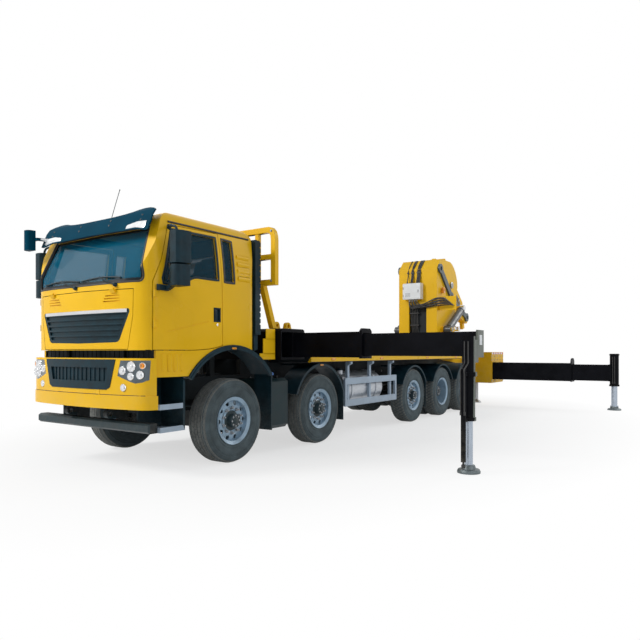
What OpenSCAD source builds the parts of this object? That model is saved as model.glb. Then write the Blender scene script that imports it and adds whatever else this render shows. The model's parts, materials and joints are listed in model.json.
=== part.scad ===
// Truck-mounted folding-boom crane on a five-axle cab-over truck.
// Units are millimetres, +X forward, +Y to the truck's left, +Z up.

/* [Axles] */
// First axle to the front of the bumper
front_overhang = 1480; // [1420:10:1560]
// First to second axle
axle_gap_12 = 1950; // [1900:10:2100]
// Second to third axle
axle_gap_23 = 3375; // [3200:10:3600]
// Third to fourth axle
axle_gap_34 = 1475; // [1420:10:1600]
// Fourth to fifth axle
axle_gap_45 = 1350; // [1320:10:1450]
// Fifth axle to the rear face
rear_overhang = 2850; // [2800:10:3000]

/* [Wheels] */
// Tyre outer radius
tyre_r = 535; // [520:1:545]
// Tyre width
tyre_w = 300; // [285:1:310]
// Rim seat radius
rim_r = 292; // [285:1:300]
// Outer tyre face from the centre line
wheel_face_y = 1180; // [1170:1:1200]
// Gap between twin tyres
dual_gap = 46; // [40:1:60]

/* [Cab] */
// Half width of the cab
cab_half_w = 1150; // [1130:1:1160]
// Cab length
cab_len = 1870; // [1840:5:1890]
// Cab height from its floor line to the roof
cab_h = 1960; // [1930:5:2000]
// Thickness of the cab walls and doors
wall_t = 60; // [50:1:70]
// Gap round each door
door_gap = 8; // [7:0.5:10]
// Sun visor's distance from the cab
visor_gap = 95; // [80:1:110]

/* [Bed] */
// Half width of the load deck
deck_half_w = 1250; // [1240:1:1270]
// Thickness of the load deck
deck_t = 40; // [35:1:50]

/* [Outriggers] */
// Front foot centre from the centre line
front_foot_y = 3880; // [3700:10:4000]
// Rear foot centre from the centre line
rear_foot_y = 4190; // [4000:10:4300]
// Foot disc radius
foot_r = 135; // [120:1:150]
// Wall thickness of the beams
beam_t = 22; // [18:1:26]

/* [Crane] */
// Half width of the crane column
column_half_w = 520; // [510:1:540]
// Boom foot pin above the slewing ring
boom_pin_h = 1390; // [1370:5:1410]
// Half width of the outer boom
outer_half_w = 215; // [205:1:220]
// Thickness of the boom's side links
link_t = 50; // [40:1:55]

/* [Hidden] */
$fn = 48;
overall_len = front_overhang + axle_gap_12 + axle_gap_23 + axle_gap_34 + axle_gap_45 + rear_overhang;
ax1 = overall_len / 2 - front_overhang;
ax2 = ax1 - axle_gap_12;
ax3 = ax2 - axle_gap_23;
ax4 = ax3 - axle_gap_34;
ax5 = ax4 - axle_gap_45;
rear_x = -overall_len / 2;
hub_z = tyre_r;
wheel_y = wheel_face_y - tyre_w / 2;
inner_y = wheel_y - tyre_w - dual_gap;
king_y = 790;
// Running clearance of pins, and the gap where two pieces are bolted together
run = 0.05;
seat = 0.3;
// Least clearance of what moves
clear = 6;
// Ladder frame
rail_in = 350;
rail_out = 430;
rail_h = 300;
rail_z0 = 2 * tyre_r - 290;
rail_z1 = rail_z0 + rail_h;
frame_x1 = ax1 + 1180;
shaft_z = hub_z + 165;
// Subframe and deck
sub_z = rail_z1 + 225;
deck_z = sub_z + deck_t;
deck_x0 = ax5 + 400;
deck_x1 = ax1 - 1600;
// Cab: nose, back and floor line from axle 1
cab_z = rail_z1 + 50;
nose = front_overhang - 60;
back = nose - cab_len;
cab_arch_r = 970;
floor_h = 470;
glass_in = 22;
glass_t = 8;
hinge_x = 1246;
hinge_y = cab_half_w - 22;
hinge_r = 14;
// Crane: slewing ring, boom pins as x and z
slew_x = ax5 - 600;
slew_z = sub_z + 455;
p1 = [slew_x - 200, slew_z + boom_pin_h];
p2 = p1 + [-1650, -750];
boom_l = norm(p2 - p1);
boom_a = atan2(p2[1] - p1[1], p2[0] - p1[0]);
fold_a = boom_a + 194.5;
pin_1 = 70;
pin_2 = 60;
boom_half_w = 300;
column_in = 360;
lift_y = 680;
lift_r = 95;
lift_rod_r = 60;
lift_base = p1 + [600, -1170];
lift_eye = p1 + 700 * [-cos(55), -sin(55)];
lift_l = norm(lift_eye - lift_base);
lift_a = atan2(lift_eye[1] - lift_base[1], lift_eye[0] - lift_base[0]);
fold_base = on_boom(430, 480);
fold_eye = p2 + 330 * [-cos(75), -sin(75)];
fold_l = norm(fold_eye - fold_base);
fold_cyl_a = atan2(fold_eye[1] - fold_base[1], fold_eye[0] - fold_base[0]);
fold_r = 85;
fold_rod_r = 50;
eye_half = 80;
// Front outrigger beams
fo_l = ax1 - 1350;
fo_r = ax1 - 1080;
fo_half = 120;
fo_z0 = sub_z + 35;
fo_z1 = fo_z0 + 350;
fo_box_w = 1200;
leg_r = 74;
leg_rod_r = 47.5;
// Rear outrigger beams
ro_l = rear_x + 790;
ro_r = rear_x + 250;
ro_half = 175;
ro_z0 = sub_z - 625;
ro_z1 = ro_z0 + 450;
box_front_x = rear_x + 1020;
rear_leg_r = 100;
rear_rod_r = 68;
jack_r = 60;
jack_y = 650;
// Which sub-part to build

// A point u along the inner boom from its foot pin and w below its axis
function on_boom(u, w) = p1 + u * [cos(boom_a), sin(boom_a)] + w * [-sin(boom_a), cos(boom_a)];
// A point u along the folded outer boom from the knuckle pin and h above its axis
function on_outer(u, h) = p2 + u * [cos(fold_a), sin(fold_a)] + h * [-sin(fold_a), cos(fold_a)];
// Curve from a to e with handles b and c, without its first point
function curve(a, b, c, e, n) = [for (i = [1 : n]) let (t = i / n, s = 1 - t)
  s * s * s * a + 3 * s * s * t * b + 3 * s * t * t * c + t * t * t * e];
function round_end(p, r, a0, a1, n) = [for (i = [0 : n]) p + r * [cos(a0 + (a1 - a0) * i / n),
  sin(a0 + (a1 - a0) * i / n)]];
// Half an outline and its mirror image, across the second axis or the first
function mirrored(a) = concat(a, [for (i = [len(a) - 1 : -1 : 0]) if (a[i][0] > 0) [-a[i][0], a[i][1]]]);
function mirrored_y(a) = concat(a, [for (i = [len(a) - 1 : -1 : 0]) if (a[i][1] > 0) [a[i][0], -a[i][1]]]);
// An outline moved inward by d
function inset(p, d) = let (n = len(p)) [for (i = [0 : n - 1]) let (
  u = (p[i] - p[(i + n - 1) % n]) / norm(p[i] - p[(i + n - 1) % n]),
  v = (p[(i + 1) % n] - p[i]) / norm(p[(i + 1) % n] - p[i]),
  m = [-u[1] - v[1], u[0] + v[0]]) p[i] + d * m * 2 / (m * m)];

module xz(y0, y1, pts) { translate([0, y1, 0]) rotate([90, 0, 0]) linear_extrude(y1 - y0) polygon(pts); }
module yz(x0, x1, pts) { translate([x0, 0, 0]) rotate([90, 0, 90]) linear_extrude(x1 - x0) polygon(pts); }
module xy(z0, z1, pts) { translate([0, 0, z0]) linear_extrude(z1 - z0) polygon(pts); }
module box(x0, x1, y0, y1, z0, z1) { translate([x0, y0, z0]) cube([x1 - x0, y1 - y0, z1 - z0]); }
module ycyl(x, z, y0, y1, r) { translate([x, y0, z]) rotate([-90, 0, 0]) cylinder(h = y1 - y0, r = r); }
module xcyl(y, z, x0, x1, r) { translate([x0, y, z]) rotate([0, 90, 0]) cylinder(h = x1 - x0, r = r); }
module zcyl(x, y, z0, z1, r) { translate([x, y, z0]) cylinder(h = z1 - z0, r = r); }
module both() { children(); mirror([0, 1, 0]) children(); }
module right() { mirror([0, 1, 0]) children(); }
module in_cab() { translate([ax1, 0, cab_z]) children(); }
module tilted(p, a) { translate([p[0], 0, p[1]]) rotate([0, -a, 0]) children(); }
// A bar from one x, z point to another, between two y values
module bar(a, b, y0, y1, h) {
  n = h / 2 * [-(b[1] - a[1]), b[0] - a[0]] / norm(b - a);
  xz(y0, y1, [a - n, b - n, b + n, a + n]);
}
// A link with an eye at each end
module link(a, b, r, waist, y0, y1) {
  difference() {
    union() {
      bar(a, b, y0, y1, waist);
      ycyl(a[0], a[1], y0, y1, r);
      ycyl(b[0], b[1], y0, y1, r);
    }
    for (p = [a, b]) ycyl(p[0], p[1], y0 - 1, y1 + 1, r * 0.45);
  }
}
module arc(x, r0, r1, y0, y1, a0, a1) {
  xz(y0, y1, concat(round_end([x, hub_z], r1, a0, a1, 16), round_end([x, hub_z], r0, a1, a0, 16)));
}
module tube(x, half, y0, y1, z0, z1, t) {
  difference() {
    box(x - half, x + half, y0, y1, z0, z1);
    box(x - half + t, x + half - t, y0 - 1, y1 + 1, z0 + t, z1 - t);
  }
}

// Wheels
module tyre(y) {
  w = tyre_w / 2;
  translate([0, y, 0]) rotate([-90, 0, 0]) rotate_extrude()
    polygon([[rim_r + 0.4, -w + 30], [rim_r + 26, -w + 12], [tyre_r - 130, -w], [tyre_r - 50, -w + 4],
      [tyre_r - 14, -w + 22], [tyre_r, -w + 48], [tyre_r, w - 48], [tyre_r - 14, w - 22],
      [tyre_r - 50, w - 4], [tyre_r - 130, w], [rim_r + 26, w - 12], [rim_r + 0.4, w - 30]]);
}
module rim_single() {
  w = tyre_w / 2;
  difference() {
    translate([0, wheel_y, 0]) rotate([-90, 0, 0]) rotate_extrude()
      polygon([[50 + run, -30], [120, -30], [120, 62], [190, 78], [258, 60], [262, -w + 26],
        [rim_r + 14, -w + 6],
        [rim_r + 14, -w + 16], [rim_r, -w + 30], [rim_r, w - 30], [rim_r + 14, w - 16], [rim_r + 14, w - 6],
        [262, w - 26], [258, 76], [190, 94], [140, 80], [118, 96], [92, 100], [88, 168], [0, 168],
          [0, 112], [50 + run, 112]]);
    for (i = [0 : 9]) rotate([0, i * 36, 0]) translate([225, wheel_y + 20, 0]) rotate([-90, 0,
      0]) cylinder(h = 120, r = 29);
  }
}
module rim_dual() {
  w = tyre_w / 2;
  d = tyre_w + dual_gap;
  difference() {
    translate([0, wheel_y, 0]) rotate([-90, 0, 0]) rotate_extrude()
      polygon([[60 + run, -d - 20], [150, -d - 20], [150, -w - 20], [262, -w - 40], [262, -d - w + 26],
        [rim_r + 14, -d - w + 6], [rim_r + 14, -d - w + 16], [rim_r, -d - w + 30], [rim_r, -d + w - 30],
          [rim_r + 14, -d + w - 16],
        [rim_r + 14, -d + w - 6], [276, -w - 24], [276, -w - 8], [rim_r + 14, -w + 6],
          [rim_r + 14, -w + 16],
        [rim_r, -w + 30], [rim_r, w - 30], [rim_r + 14, w - 16], [rim_r + 14, w - 6], [266, w - 24],
        [262, -w + 30], [170, -w + 12], [128, -w + 30], [118, 40], [92, 60], [0, 60], [0, 20],
          [60 + run, 20]]);
    for (i = [0 : 9]) rotate([0, i * 36, 0]) translate([220, wheel_y - w - 60, 0]) rotate([-90, 0,
      0]) cylinder(h = 120, r = 26);
  }
}
module wheel_single(x) { translate([x, 0, hub_z]) { color("#1c1c1e") tyre(wheel_y); color("#8b8f94") rim_single(); } }
module wheel_dual(x) {
  translate([x, 0, hub_z]) { color("#1c1c1e") { tyre(wheel_y); tyre(inner_y); } color("#8b8f94") rim_dual(); }
}
module wheel_1_left() { wheel_single(ax1); }
module wheel_1_right() { right() wheel_single(ax1); }
module wheel_2_left() { wheel_single(ax2); }
module wheel_2_right() { right() wheel_single(ax2); }
module wheel_3_left() { wheel_single(ax3); }
module wheel_3_right() { right() wheel_single(ax3); }
module wheel_4_left() { wheel_dual(ax4); }
module wheel_4_right() { right() wheel_dual(ax4); }
module wheel_5_left() { wheel_dual(ax5); }
module wheel_5_right() { right() wheel_dual(ax5); }

// Steering knuckles
module knuckle(x) {
  color("#3a3c3e") translate([x, 0, hub_z]) difference() {
    union() {
      for (z = [72, -122]) { zcyl(0, king_y, z, z + 50, 66); box(-66, 66, king_y, king_y + 72, z, z + 50); }
      ycyl(0, 0, king_y + 72, king_y + 100, 190);
      ycyl(0, 0, king_y + 100, wheel_y + 105, 50);
      ycyl(0, 0, king_y + 100, king_y + 150, 90);
    }
    zcyl(0, king_y, -130, 130, 32 + run);
  }
}
module knuckle_1_left() { knuckle(ax1); }
module knuckle_1_right() { right() knuckle(ax1); }
module knuckle_2_left() { knuckle(ax2); }
module knuckle_2_right() { right() knuckle(ax2); }

// Axle beams with their leaf springs, one solid an axle
module spring_pack(x, half) {
  n = 12;
  top = [for (i = [-n : n]) let (t = i / n) [x + half * t, rail_z0 - 110 + 110 * t * t]];
  low = [for (i = [n : -1 : -n]) let (t = i / n) [x + half * t, rail_z0 - 150 + 130 * t * t]];
  both() xz(rail_in - 5, rail_out + 5, concat(top, low));
}
module steer_axle(x) {
  k = king_y;
  both() {
    translate([x, 0, hub_z]) { zcyl(0, k, -64, 64, 62); zcyl(0, k, -124, 124, 32); }
    yz(x - 48, x + 48, [[0, hub_z - 120], [480, hub_z - 120], [640, hub_z - 55], [k, hub_z - 55],
      [k, hub_z + 55], [600, hub_z + 55], [450, hub_z - 10], [0, hub_z - 10]]);
    box(x - 70, x + 70, rail_in - 10, rail_out + 10, hub_z - 14, rail_z0 - 140);
  }
  spring_pack(x, 780);
}
module fixed_axle(x) {
  both() {
    ycyl(x, hub_z, 0, king_y + 72, 68);
    ycyl(x, hub_z, king_y + 72, king_y + 100, 190);
    ycyl(x, hub_z, king_y + 90, wheel_y + 105, 50);
    box(x - 70, x + 70, rail_in - 10, rail_out + 10, hub_z + 30, rail_z0 - 140);
  }
  spring_pack(x, 600);
}
module drive_axle(x) {
  both() {
    ycyl(x, hub_z, 0, inner_y - tyre_w / 2 - 12, 84);
    ycyl(x, hub_z, 0, wheel_y + 12, 60);
    box(x - 70, x + 70, rail_in - 10, rail_out + 10, hub_z + 30, rail_z0 - 130);
  }
  translate([x, 0, hub_z]) sphere(r = 235);
  xcyl(0, shaft_z, x, x + 300 - seat, 60);
}
module drive_bogie() {
  mid = (ax4 + ax5) / 2;
  half = (ax4 - ax5) / 2;
  drive_axle(ax4);
  drive_axle(ax5);
  both() xz(rail_in - 5, rail_out + 5, [[ax5 - 60, rail_z0 - 130], [ax4 + 60, rail_z0 - 130],
    [ax4 + 60, rail_z0 - 90], [mid + half * 0.4, rail_z0 - 20], [mid + 130, rail_z0], [mid - 130, rail_z0],
    [mid - half * 0.4, rail_z0 - 20], [ax5 - 60, rail_z0 - 90]]);
}
module drivetrain() {
  e = rail_in - seat;
  gearbox_x = ax1 - 1500;
  color("#55585b") {
    box(ax1 - 600, ax1 + 620, -e, e, rail_z0 - 90, rail_z1 + 30);
    box(gearbox_x, ax1 - 600 - seat, -210, 210, rail_z0 - 80, rail_z0 + 120);
    box(ax1 + 700, ax1 + 780, -e, e, rail_z0 - 140, rail_z1 + 40);
    xcyl(0, shaft_z, ax4 + 300, gearbox_x - seat, 48);
  }
  color("#303234") {
    steer_axle(ax1);
    steer_axle(ax2);
    fixed_axle(ax3);
    union() drive_bogie();
  }
}

// Ladder frame of C rails, cross members, cab mounts, front underrun bar and tow eyes
module chassis_frame() {
  bar_z = rail_z0 - 280;
  tow_z = rail_z0 - 90;
  color("#2b2d2f") difference() {
    union() {
      both() {
        yz(box_front_x, frame_x1, [[rail_in, rail_z0], [rail_out, rail_z0], [rail_out, rail_z1],
          [rail_in, rail_z1],
          [rail_in, rail_z1 - 9], [rail_out - 9, rail_z1 - 9], [rail_out - 9, rail_z0 + 9],
            [rail_in, rail_z0 + 9]]);
        xz(rail_in + 8, rail_out - 2, concat([[frame_x1 - 120, bar_z], [frame_x1, bar_z],
          [frame_x1, tow_z - 55]],
          round_end([frame_x1 + 125, tow_z], 55, -90, 60, 8), [[frame_x1 - 40, rail_z0 + 20],
            [frame_x1 - 120, rail_z0 + 20]]));
        for (x = [ax1 + 1050, ax1 - 400])
          box(x, x + 90, rail_in + 8, rail_out - 8, rail_z1 - 4, cab_z + floor_h - 70 - seat);
      }
      for (x = [ax1 + 1000, ax2 - 700, ax2 - 1900, ax3 + 700, ax3 - 740, ax5 - 700, ax5 - 1500])
        box(x - 40, x + 40, -rail_out + 5, rail_out - 5, rail_z1 - 150, rail_z1 - 20);
      xz(60 - cab_half_w, cab_half_w - 60, [[frame_x1 - 2, bar_z], [frame_x1 + 100, bar_z],
        [frame_x1 + 130, bar_z + 22],
        [frame_x1 + 130, bar_z + 90], [frame_x1 + 100, bar_z + 112], [frame_x1 - 2, bar_z + 112]]);
    }
    both() ycyl(frame_x1 + 125, tow_z, rail_in, rail_out, 25);
  }
}

// Fuel tanks with their straps, and the reservoir behind the first wheel
module tanks() {
  tank_x = ax2 - 1500;
  tank_in = rail_out + 80;
  tank_out = deck_half_w - 140;
  tank_y = (tank_in + tank_out) / 2;
  tank_z = rail_z0;
  tank_r = (tank_out - tank_in) / 2;
  box_y = deck_half_w - 130;
  strap = 12;
  color("#9fa7ad") both() {
    union() {
      xcyl(tank_y, tank_z, tank_x - 640, tank_x + 640, tank_r);
      for (x = [tank_x - 420, tank_x + 420]) {
        xcyl(tank_y, tank_z, x - 30, x + 30, tank_r + strap);
        box(x - 30, x + 30, rail_out + seat, tank_in + tank_r / 3, tank_z + 20, tank_z + 220);
      }
      zcyl(tank_x + 540, tank_y + tank_r / 3, tank_z + tank_r * 0.6, tank_z + tank_r + 20, tank_r / 5);
    }
  }
  color("#4a4d50") both() union() {
    yz(ax1 - 1190, ax1 - 800, [[rail_out + clear, rail_z0 + 100], [rail_out + clear, rail_z0 + 240],
      [box_y - 60, rail_z0 + 260],
      [box_y, rail_z0 + 215], [box_y, rail_z0 - 400], [box_y - 50, rail_z0 - 450],
        [rail_out + 190, rail_z0 - 450],
      [rail_out + 150, rail_z0 + 100]]);
    zcyl(ax1 - 900, box_y - 110, rail_z0 + 240, rail_z0 + 310, 50);
    box(ax1 - 1020, ax1 - 960, rail_out + seat, rail_out + 20, rail_z0 + 120, rail_z0 + 220);
  }
}

// Side guards: two rails closed to a frame by end plates, on posts under the deck
module side_guards() {
  g0 = ax2 - 2570;
  g1 = ax2 - tyre_r - 180;
  guard_y = deck_half_w - 100;
  guard_t = 40;
  rail_w = 110;
  low = rail_z0 - 275;
  high = rail_z0 + 90;
  color("#b9bec2") both() union() {
    difference() {
      xz(guard_y, guard_y + guard_t, [[g0 + 12, low], [g1 - 12, low], [g1, low + 12], [g1, high + rail_w - 12],
        [g1 - 12, high + rail_w], [g0 + 12, high + rail_w], [g0, high + rail_w - 12], [g0, low + 12]]);
      box(g0 + 60, g1 - 60, guard_y - 1, guard_y + guard_t + 1, low + rail_w, high);
    }
    for (x = [g0 + 150, (g0 + g1) / 2, g1 - 190])
      yz(x, x + 60, [[guard_y - 40, low], [guard_y + 2, low], [guard_y + 2, sub_z - 120],
        [deck_half_w - 35, sub_z - 90], [deck_half_w - 35, sub_z - 50 - seat], [guard_y - 40, sub_z - 50 - seat]]);
  }
}

// Wheel arches, steps and mud flaps
module fenders() {
  skin = 14;
  arch_2 = tyre_r + 155;
  arch_r = tyre_r + 65;
  step_x0 = ax1 + 800;
  step_x1 = ax1 + 1170;
  color("#1f2022") both() {
    arc(ax1, cab_arch_r - 30, cab_arch_r - seat, 800, cab_half_w + 20, 37, 143);
    arc(ax1, cab_arch_r - 60, cab_arch_r - 29, cab_half_w - 14, cab_half_w + 26, 37, 143);
    box(ax1 - 775, ax1 - 752, 860, cab_half_w + 15, rail_z0 - 450, hub_z + 577);
    arc(ax2, arch_2, arch_2 + skin, 850, deck_half_w - 50, 22, 158);
    arc(ax2, arch_2 - 25, arch_2 + 1, deck_half_w - 62, deck_half_w - 50, 22, 158);
    box(ax2 - arch_2 * cos(22) - skin, ax2 - arch_2 * cos(22), 860, deck_half_w - 60, hub_z - 235,
      hub_z + arch_2 * sin(22) + 8);
    for (x = [ax3, ax4, ax5]) {
      arc(x, arch_r, arch_r + skin, x == ax3 ? 850 : 500, deck_half_w - 50, 24, 156);
      arc(x, arch_r - 20, arch_r + 1, deck_half_w - 62, deck_half_w - 50, 24, 156);
    }
    for (x = [ax3, ax5]) box(x - arch_r * cos(24) - skin, x - arch_r * cos(24), x == ax3 ? 860 : 520,
      deck_half_w - 60,
      hub_z - 275, hub_z + arch_r * sin(24) + 8);
    for (x = [ax2, ax3, ax4, ax5])
      ycyl(x, hub_z + (x == ax2 ? arch_2 : arch_r) - 12, rail_out, x == ax2 || x == ax3 ? 900 : 560, 18);
    union() {
      // Two cab steps with raised edges on a bracket
      for (z = [rail_z0 - 280, rail_z0 - 20]) difference() {
        box(step_x0, step_x1, 720, cab_half_w - 20, z, z + 60);
        box(step_x0 + 20, step_x1 - 20, 740, cab_half_w - 40, z + 25, z + 61);
      }
      yz(step_x0, step_x0 + 30, [[720, rail_z0 - 280], [cab_half_w - 20, rail_z0 - 280],
        [cab_half_w - 20, rail_z0 + 300],
        [cab_half_w - 60, rail_z0 + 340], [720, rail_z0 + 340]]);
      box(step_x0 + 20, step_x1, 720, 750, rail_z0 - 250, rail_z0 + 340);
      box(ax1 + 1000, ax1 + 1100, rail_out + seat, 730, rail_z0 + 20, rail_z0 + 120);
    }
  }
}

// Cab outlines: side view from axle 1 and the floor line, plan, and cross-section
cab_side = concat([[back, 0], [nose, 0], [nose, 770]],
  curve([nose, 770], [nose, 900], [nose - 8, 990], [nose - 30, 1070], 3),
  curve([nose - 30, 1070], [nose - 90, 1255], [nose - 185, 1500], [nose - 300, cab_h - 175], 4),
  curve([nose - 300, cab_h - 175], [nose - 345, cab_h - 85], [nose - 440, cab_h - 36],
    [nose - 620, cab_h - 16], 5),
  curve([nose - 620, cab_h - 16], [nose - 900, cab_h + 6], [nose - 1300, cab_h + 2],
    [nose - 1620, cab_h - 20], 4),
  curve([nose - 1620, cab_h - 20], [nose - 1760, cab_h - 30], [back, cab_h - 60], [back, cab_h - 200], 5));
cab_plan_half = concat([[nose, 0]],
  curve([nose, 0], [nose - 4, 350], [nose - 20, 620], [nose - 52, cab_half_w - 300], 4),
  curve([nose - 52, cab_half_w - 300], [nose - 70, cab_half_w - 130], [nose - 160, cab_half_w - 8],
    [nose - 350, cab_half_w], 6),
  [[back + 130, cab_half_w]], curve([back + 130, cab_half_w], [back + 55, cab_half_w],
    [back, cab_half_w - 55], [back, cab_half_w - 130], 4));
cab_plan = mirrored_y(cab_plan_half);
cab_section_half = concat([[cab_half_w, 0], [cab_half_w, 1050]],
  curve([cab_half_w, 1050], [cab_half_w, 1300], [cab_half_w - 35, cab_h - 420],
    [cab_half_w - 75, cab_h - 200], 4),
  curve([cab_half_w - 75, cab_h - 200], [cab_half_w - 95, cab_h - 95], [cab_half_w - 150, cab_h - 30],
    [cab_half_w - 330, cab_h - 10], 5), [[0, cab_h + 8]]);
cab_section = mirrored(cab_section_half);
// Cab form, pushed in by d
module cab_form(d) {
  far = cab_half_w + 400;
  intersection() {
    xz(-far, far, inset(cab_side, d));
    xy(-far, cab_h + far, inset(cab_plan, d));
    yz(back - far, nose + far, inset(cab_section, d));
  }
}
module cab_pane() {
  intersection() {
    difference() { cab_form(glass_in); cab_form(glass_in + glass_t); }
    children();
  }
}
// The cab's wall, with the floor, wheel arches, engine tunnel and the slot over the bumper
module cab_skin() {
  hood_z = 305;
  difference() {
    cab_form(0);
    intersection() { cab_form(wall_t); box(back, nose, -cab_half_w, cab_half_w, 1020, 2 * cab_h); }
    intersection() { cab_form(wall_t); box(back, nose - 130, -cab_half_w, cab_half_w, floor_h, 1070); }
    both() ycyl(0, hub_z - cab_z, 560, cab_half_w + 150, cab_arch_r);
    box(back - 10, nose - 170, -700, 700, -10, floor_h - 70);
    box(400, nose - 120, 70 - cab_half_w, cab_half_w - 70, -10, hood_z + 5);
    box(nose - 206, nose + 100, -cab_half_w - 50, cab_half_w + 50, -10, hood_z);
  }
}
// Door outline grown by g. Its rear edge leans forward to swing clear of the pillar
module door_side(g) {
  xz(cab_half_w - 260, cab_half_w + 100, concat([[195 - g, 370 - g]],
    curve([195 - g, 370 - g], [330, 330 - g], [520, 312 - g], [700, 310 - g], 4),
    [[1240 + g, 310 - g], [1240 + g, 1080], [1010 + g, cab_h - 210 + g], [211 - g, cab_h - 190 + g]]));
}
door_room = 30;
module door_cut(g) {
  intersection() {
    door_side(g);
    difference() { cab_form(-50); cab_form(g > 0 ? wall_t + door_room : wall_t); }
  }
}
module door_window(g) {
  xz(cab_half_w - wall_t - 150, cab_half_w + 100, concat([[270 - g, 1190 - g], [620, 1190 - g]],
    curve([620, 1190 - g], [760, 1180 - g], [800, 1085 - g], [930, 1075 - g], 4),
    [[1120 + g, 1075 - g], [1128 + g, 1120], [968 + g, cab_h - 270 + g], [270 - g, cab_h - 255 + g]]));
}
module quarter_window(g) {
  xz(cab_half_w - wall_t - 150, cab_half_w + 100,
    [[-20 - g, 1180 - g], [140 + g, 1180 - g], [140 + g, cab_h - 255 + g], [-20 - g, cab_h - 262 + g]]);
}
screen_half = concat([[0, 1085]], [[cab_half_w - 175, 1085]],
  curve([cab_half_w - 175, 1085], [cab_half_w - 135, 1085], [cab_half_w - 135, 1130],
    [cab_half_w - 140, 1180], 3),
  [[cab_half_w - 235, 1710], [0, 1725]]);
module screen_cut(g) { yz(nose - 600, nose + 200, inset(mirrored(screen_half), -g)); }
module rear_window(g) { yz(back - 100, back + 150, inset([[-600, 1220], [600, 1220], [600, 1630],
  [-600, 1630]], -g)); }
// Front flap outline and its grille opening
flap_half = [[0, 318], [cab_half_w - 330, 318], [cab_half_w - 256, 700], [cab_half_w - 250, 990],
  [0, 1000]];
module flap_cut(g) { yz(nose - 110, nose + 200, inset(mirrored(flap_half), -g)); }
grille_half = concat([[0, 385], [640, 395]], curve([640, 395], [690, 400], [700, 420], [715, 460], 3),
  [[850, 740]],
  curve([850, 740], [855, 770], [840, 780], [810, 778], 3), [[0, 765]]);
grille_face = mirrored(grille_half);
grille_depth = 30;
// A layer of the cab's upright front from a to b behind its face
cab_front = [for (p = cab_plan) if (p[0] > nose - 100 && p[1] >= 0) p];
module front_layer(a, b) {
  n = len(cab_front);
  outer = concat([for (i = [n - 1 : -1 : 1]) [cab_front[i][0], -cab_front[i][1]]], cab_front);
  xy(300, 900, concat([for (q = outer) q - [a, 0]], [for (i = [len(outer) - 1 : -1 : 0]) outer[i] - [b,
    0]]));
}
module grille_cut(g) { yz(nose - 200, nose + 200, inset(grille_face, -g)); }
module cab_shell() {
  louvre_gap = 62;
  color("#e8a800") in_cab() difference() {
    cab_skin();
    both() {
      door_cut(door_gap);
      quarter_window(0);
      for (z = [560, 900]) zcyl(hinge_x, hinge_y, z - clear, z + 80 + clear, hinge_r + clear);
      // Louvres behind the quarter window and scoops under the door
      for (i = [0 : 4]) translate([-330, cab_half_w, 1240 + louvre_gap * i]) rotate([18, 0, 0]) box(0,
        230, -14, 40, 0, 34);
      for (i = [0 : 3]) translate([870 + 95 * i, cab_half_w, 60]) rotate([0, 0, 16]) box(0, 60, -12, 40,
        0, 190);
    }
    screen_cut(0);
    rear_window(0);
    flap_cut(door_gap);
  }
}
module cab_glass() {
  color("#7fb6c4", 0.4) in_cab() {
    cab_pane() screen_cut(-seat);
    both() cab_pane() quarter_window(-seat);
    cab_pane() rear_window(-seat);
  }
}
module door() {
  color("#e8a800") in_cab() union() {
    difference() {
      intersection() { cab_skin(); door_cut(0); }
      door_window(0);
      // Handle recess and the pressed crease
      box(225, 350, cab_half_w - 16, cab_half_w + 20, 655, 835);
      bar([440, 660], [1300, 470], cab_half_w - 5, cab_half_w + 20, 14);
    }
    for (z = [560, 900]) {
      zcyl(hinge_x, hinge_y, z, z + 80, hinge_r);
      box(hinge_x - 70, hinge_x - 4, hinge_y - 26, hinge_y - 2, z, z + 80);
    }
  }
}
module door_glass() { color("#7fb6c4", 0.4) in_cab() cab_pane() door_window(-seat); }
module door_left() { door(); }
module door_right() { right() door(); }
module door_glass_left() { door_glass(); }
module door_glass_right() { right() door_glass(); }
// A mirror head, rounded in plan, with its glass recess facing back
module mirror_head(x0, x1, y0, y1, z0, z1, lip) {
  r = (x1 - x0) * 0.62;
  difference() {
    xy(z0, z1, concat([[x0, y0]], curve([x0, y0], [x0 + r, y0], [x1, y0 + 10], [x1, (y0 + y1) / 2], 5),
      curve([x1, (y0 + y1) / 2], [x1, y1 - 10], [x0 + r, y1], [x0, y1], 5)));
    box(x0 - 1, x0 + 8, y0 + lip, y1 - lip, z0 + lip, z1 - lip);
  }
}
module mirror_set() {
  y = cab_half_w;
  color("#18191b") in_cab() union() {
    mirror_head(1000, 1185, y + 95, y + 300, 1270, 1630, 15);
    mirror_head(1010, 1180, y + 100, y + 295, 1020, 1255, 15);
    box(1070, 1120, y + 140, y + 180, 1250, 1275);
    // Arm to the door
    yz(1075, 1125, [[y - 0.4, 985], [y + 40, 980], [y + 150, 1030], [y + 150, 1065], [y + 30, 1030],
      [y - 0.4, 1035]]);
  }
}
module mirror_left() { mirror_set(); }
module mirror_right() { right() mirror_set(); }

module front_flap() {
  color("#e8a800") in_cab() union() {
    difference() {
      intersection() { cab_skin(); flap_cut(0); }
      intersection() { grille_cut(0); front_layer(-40, grille_depth); }
      both() for (i = [0 : 2]) box(nose - 40, nose + 20, 420 + 20 * i, 700, 860 + 32 * i, 872 + 32 * i);
    }
    both() {
      ycyl(nose + 2, 1004, 560, 640, 12);
      xz(560, 640, [[nose - 40, 960], [nose - 12, 960], [nose + 8, 995], [nose - 4, 1004],
        [nose - 40, 992]]);
    }
  }
}
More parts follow.
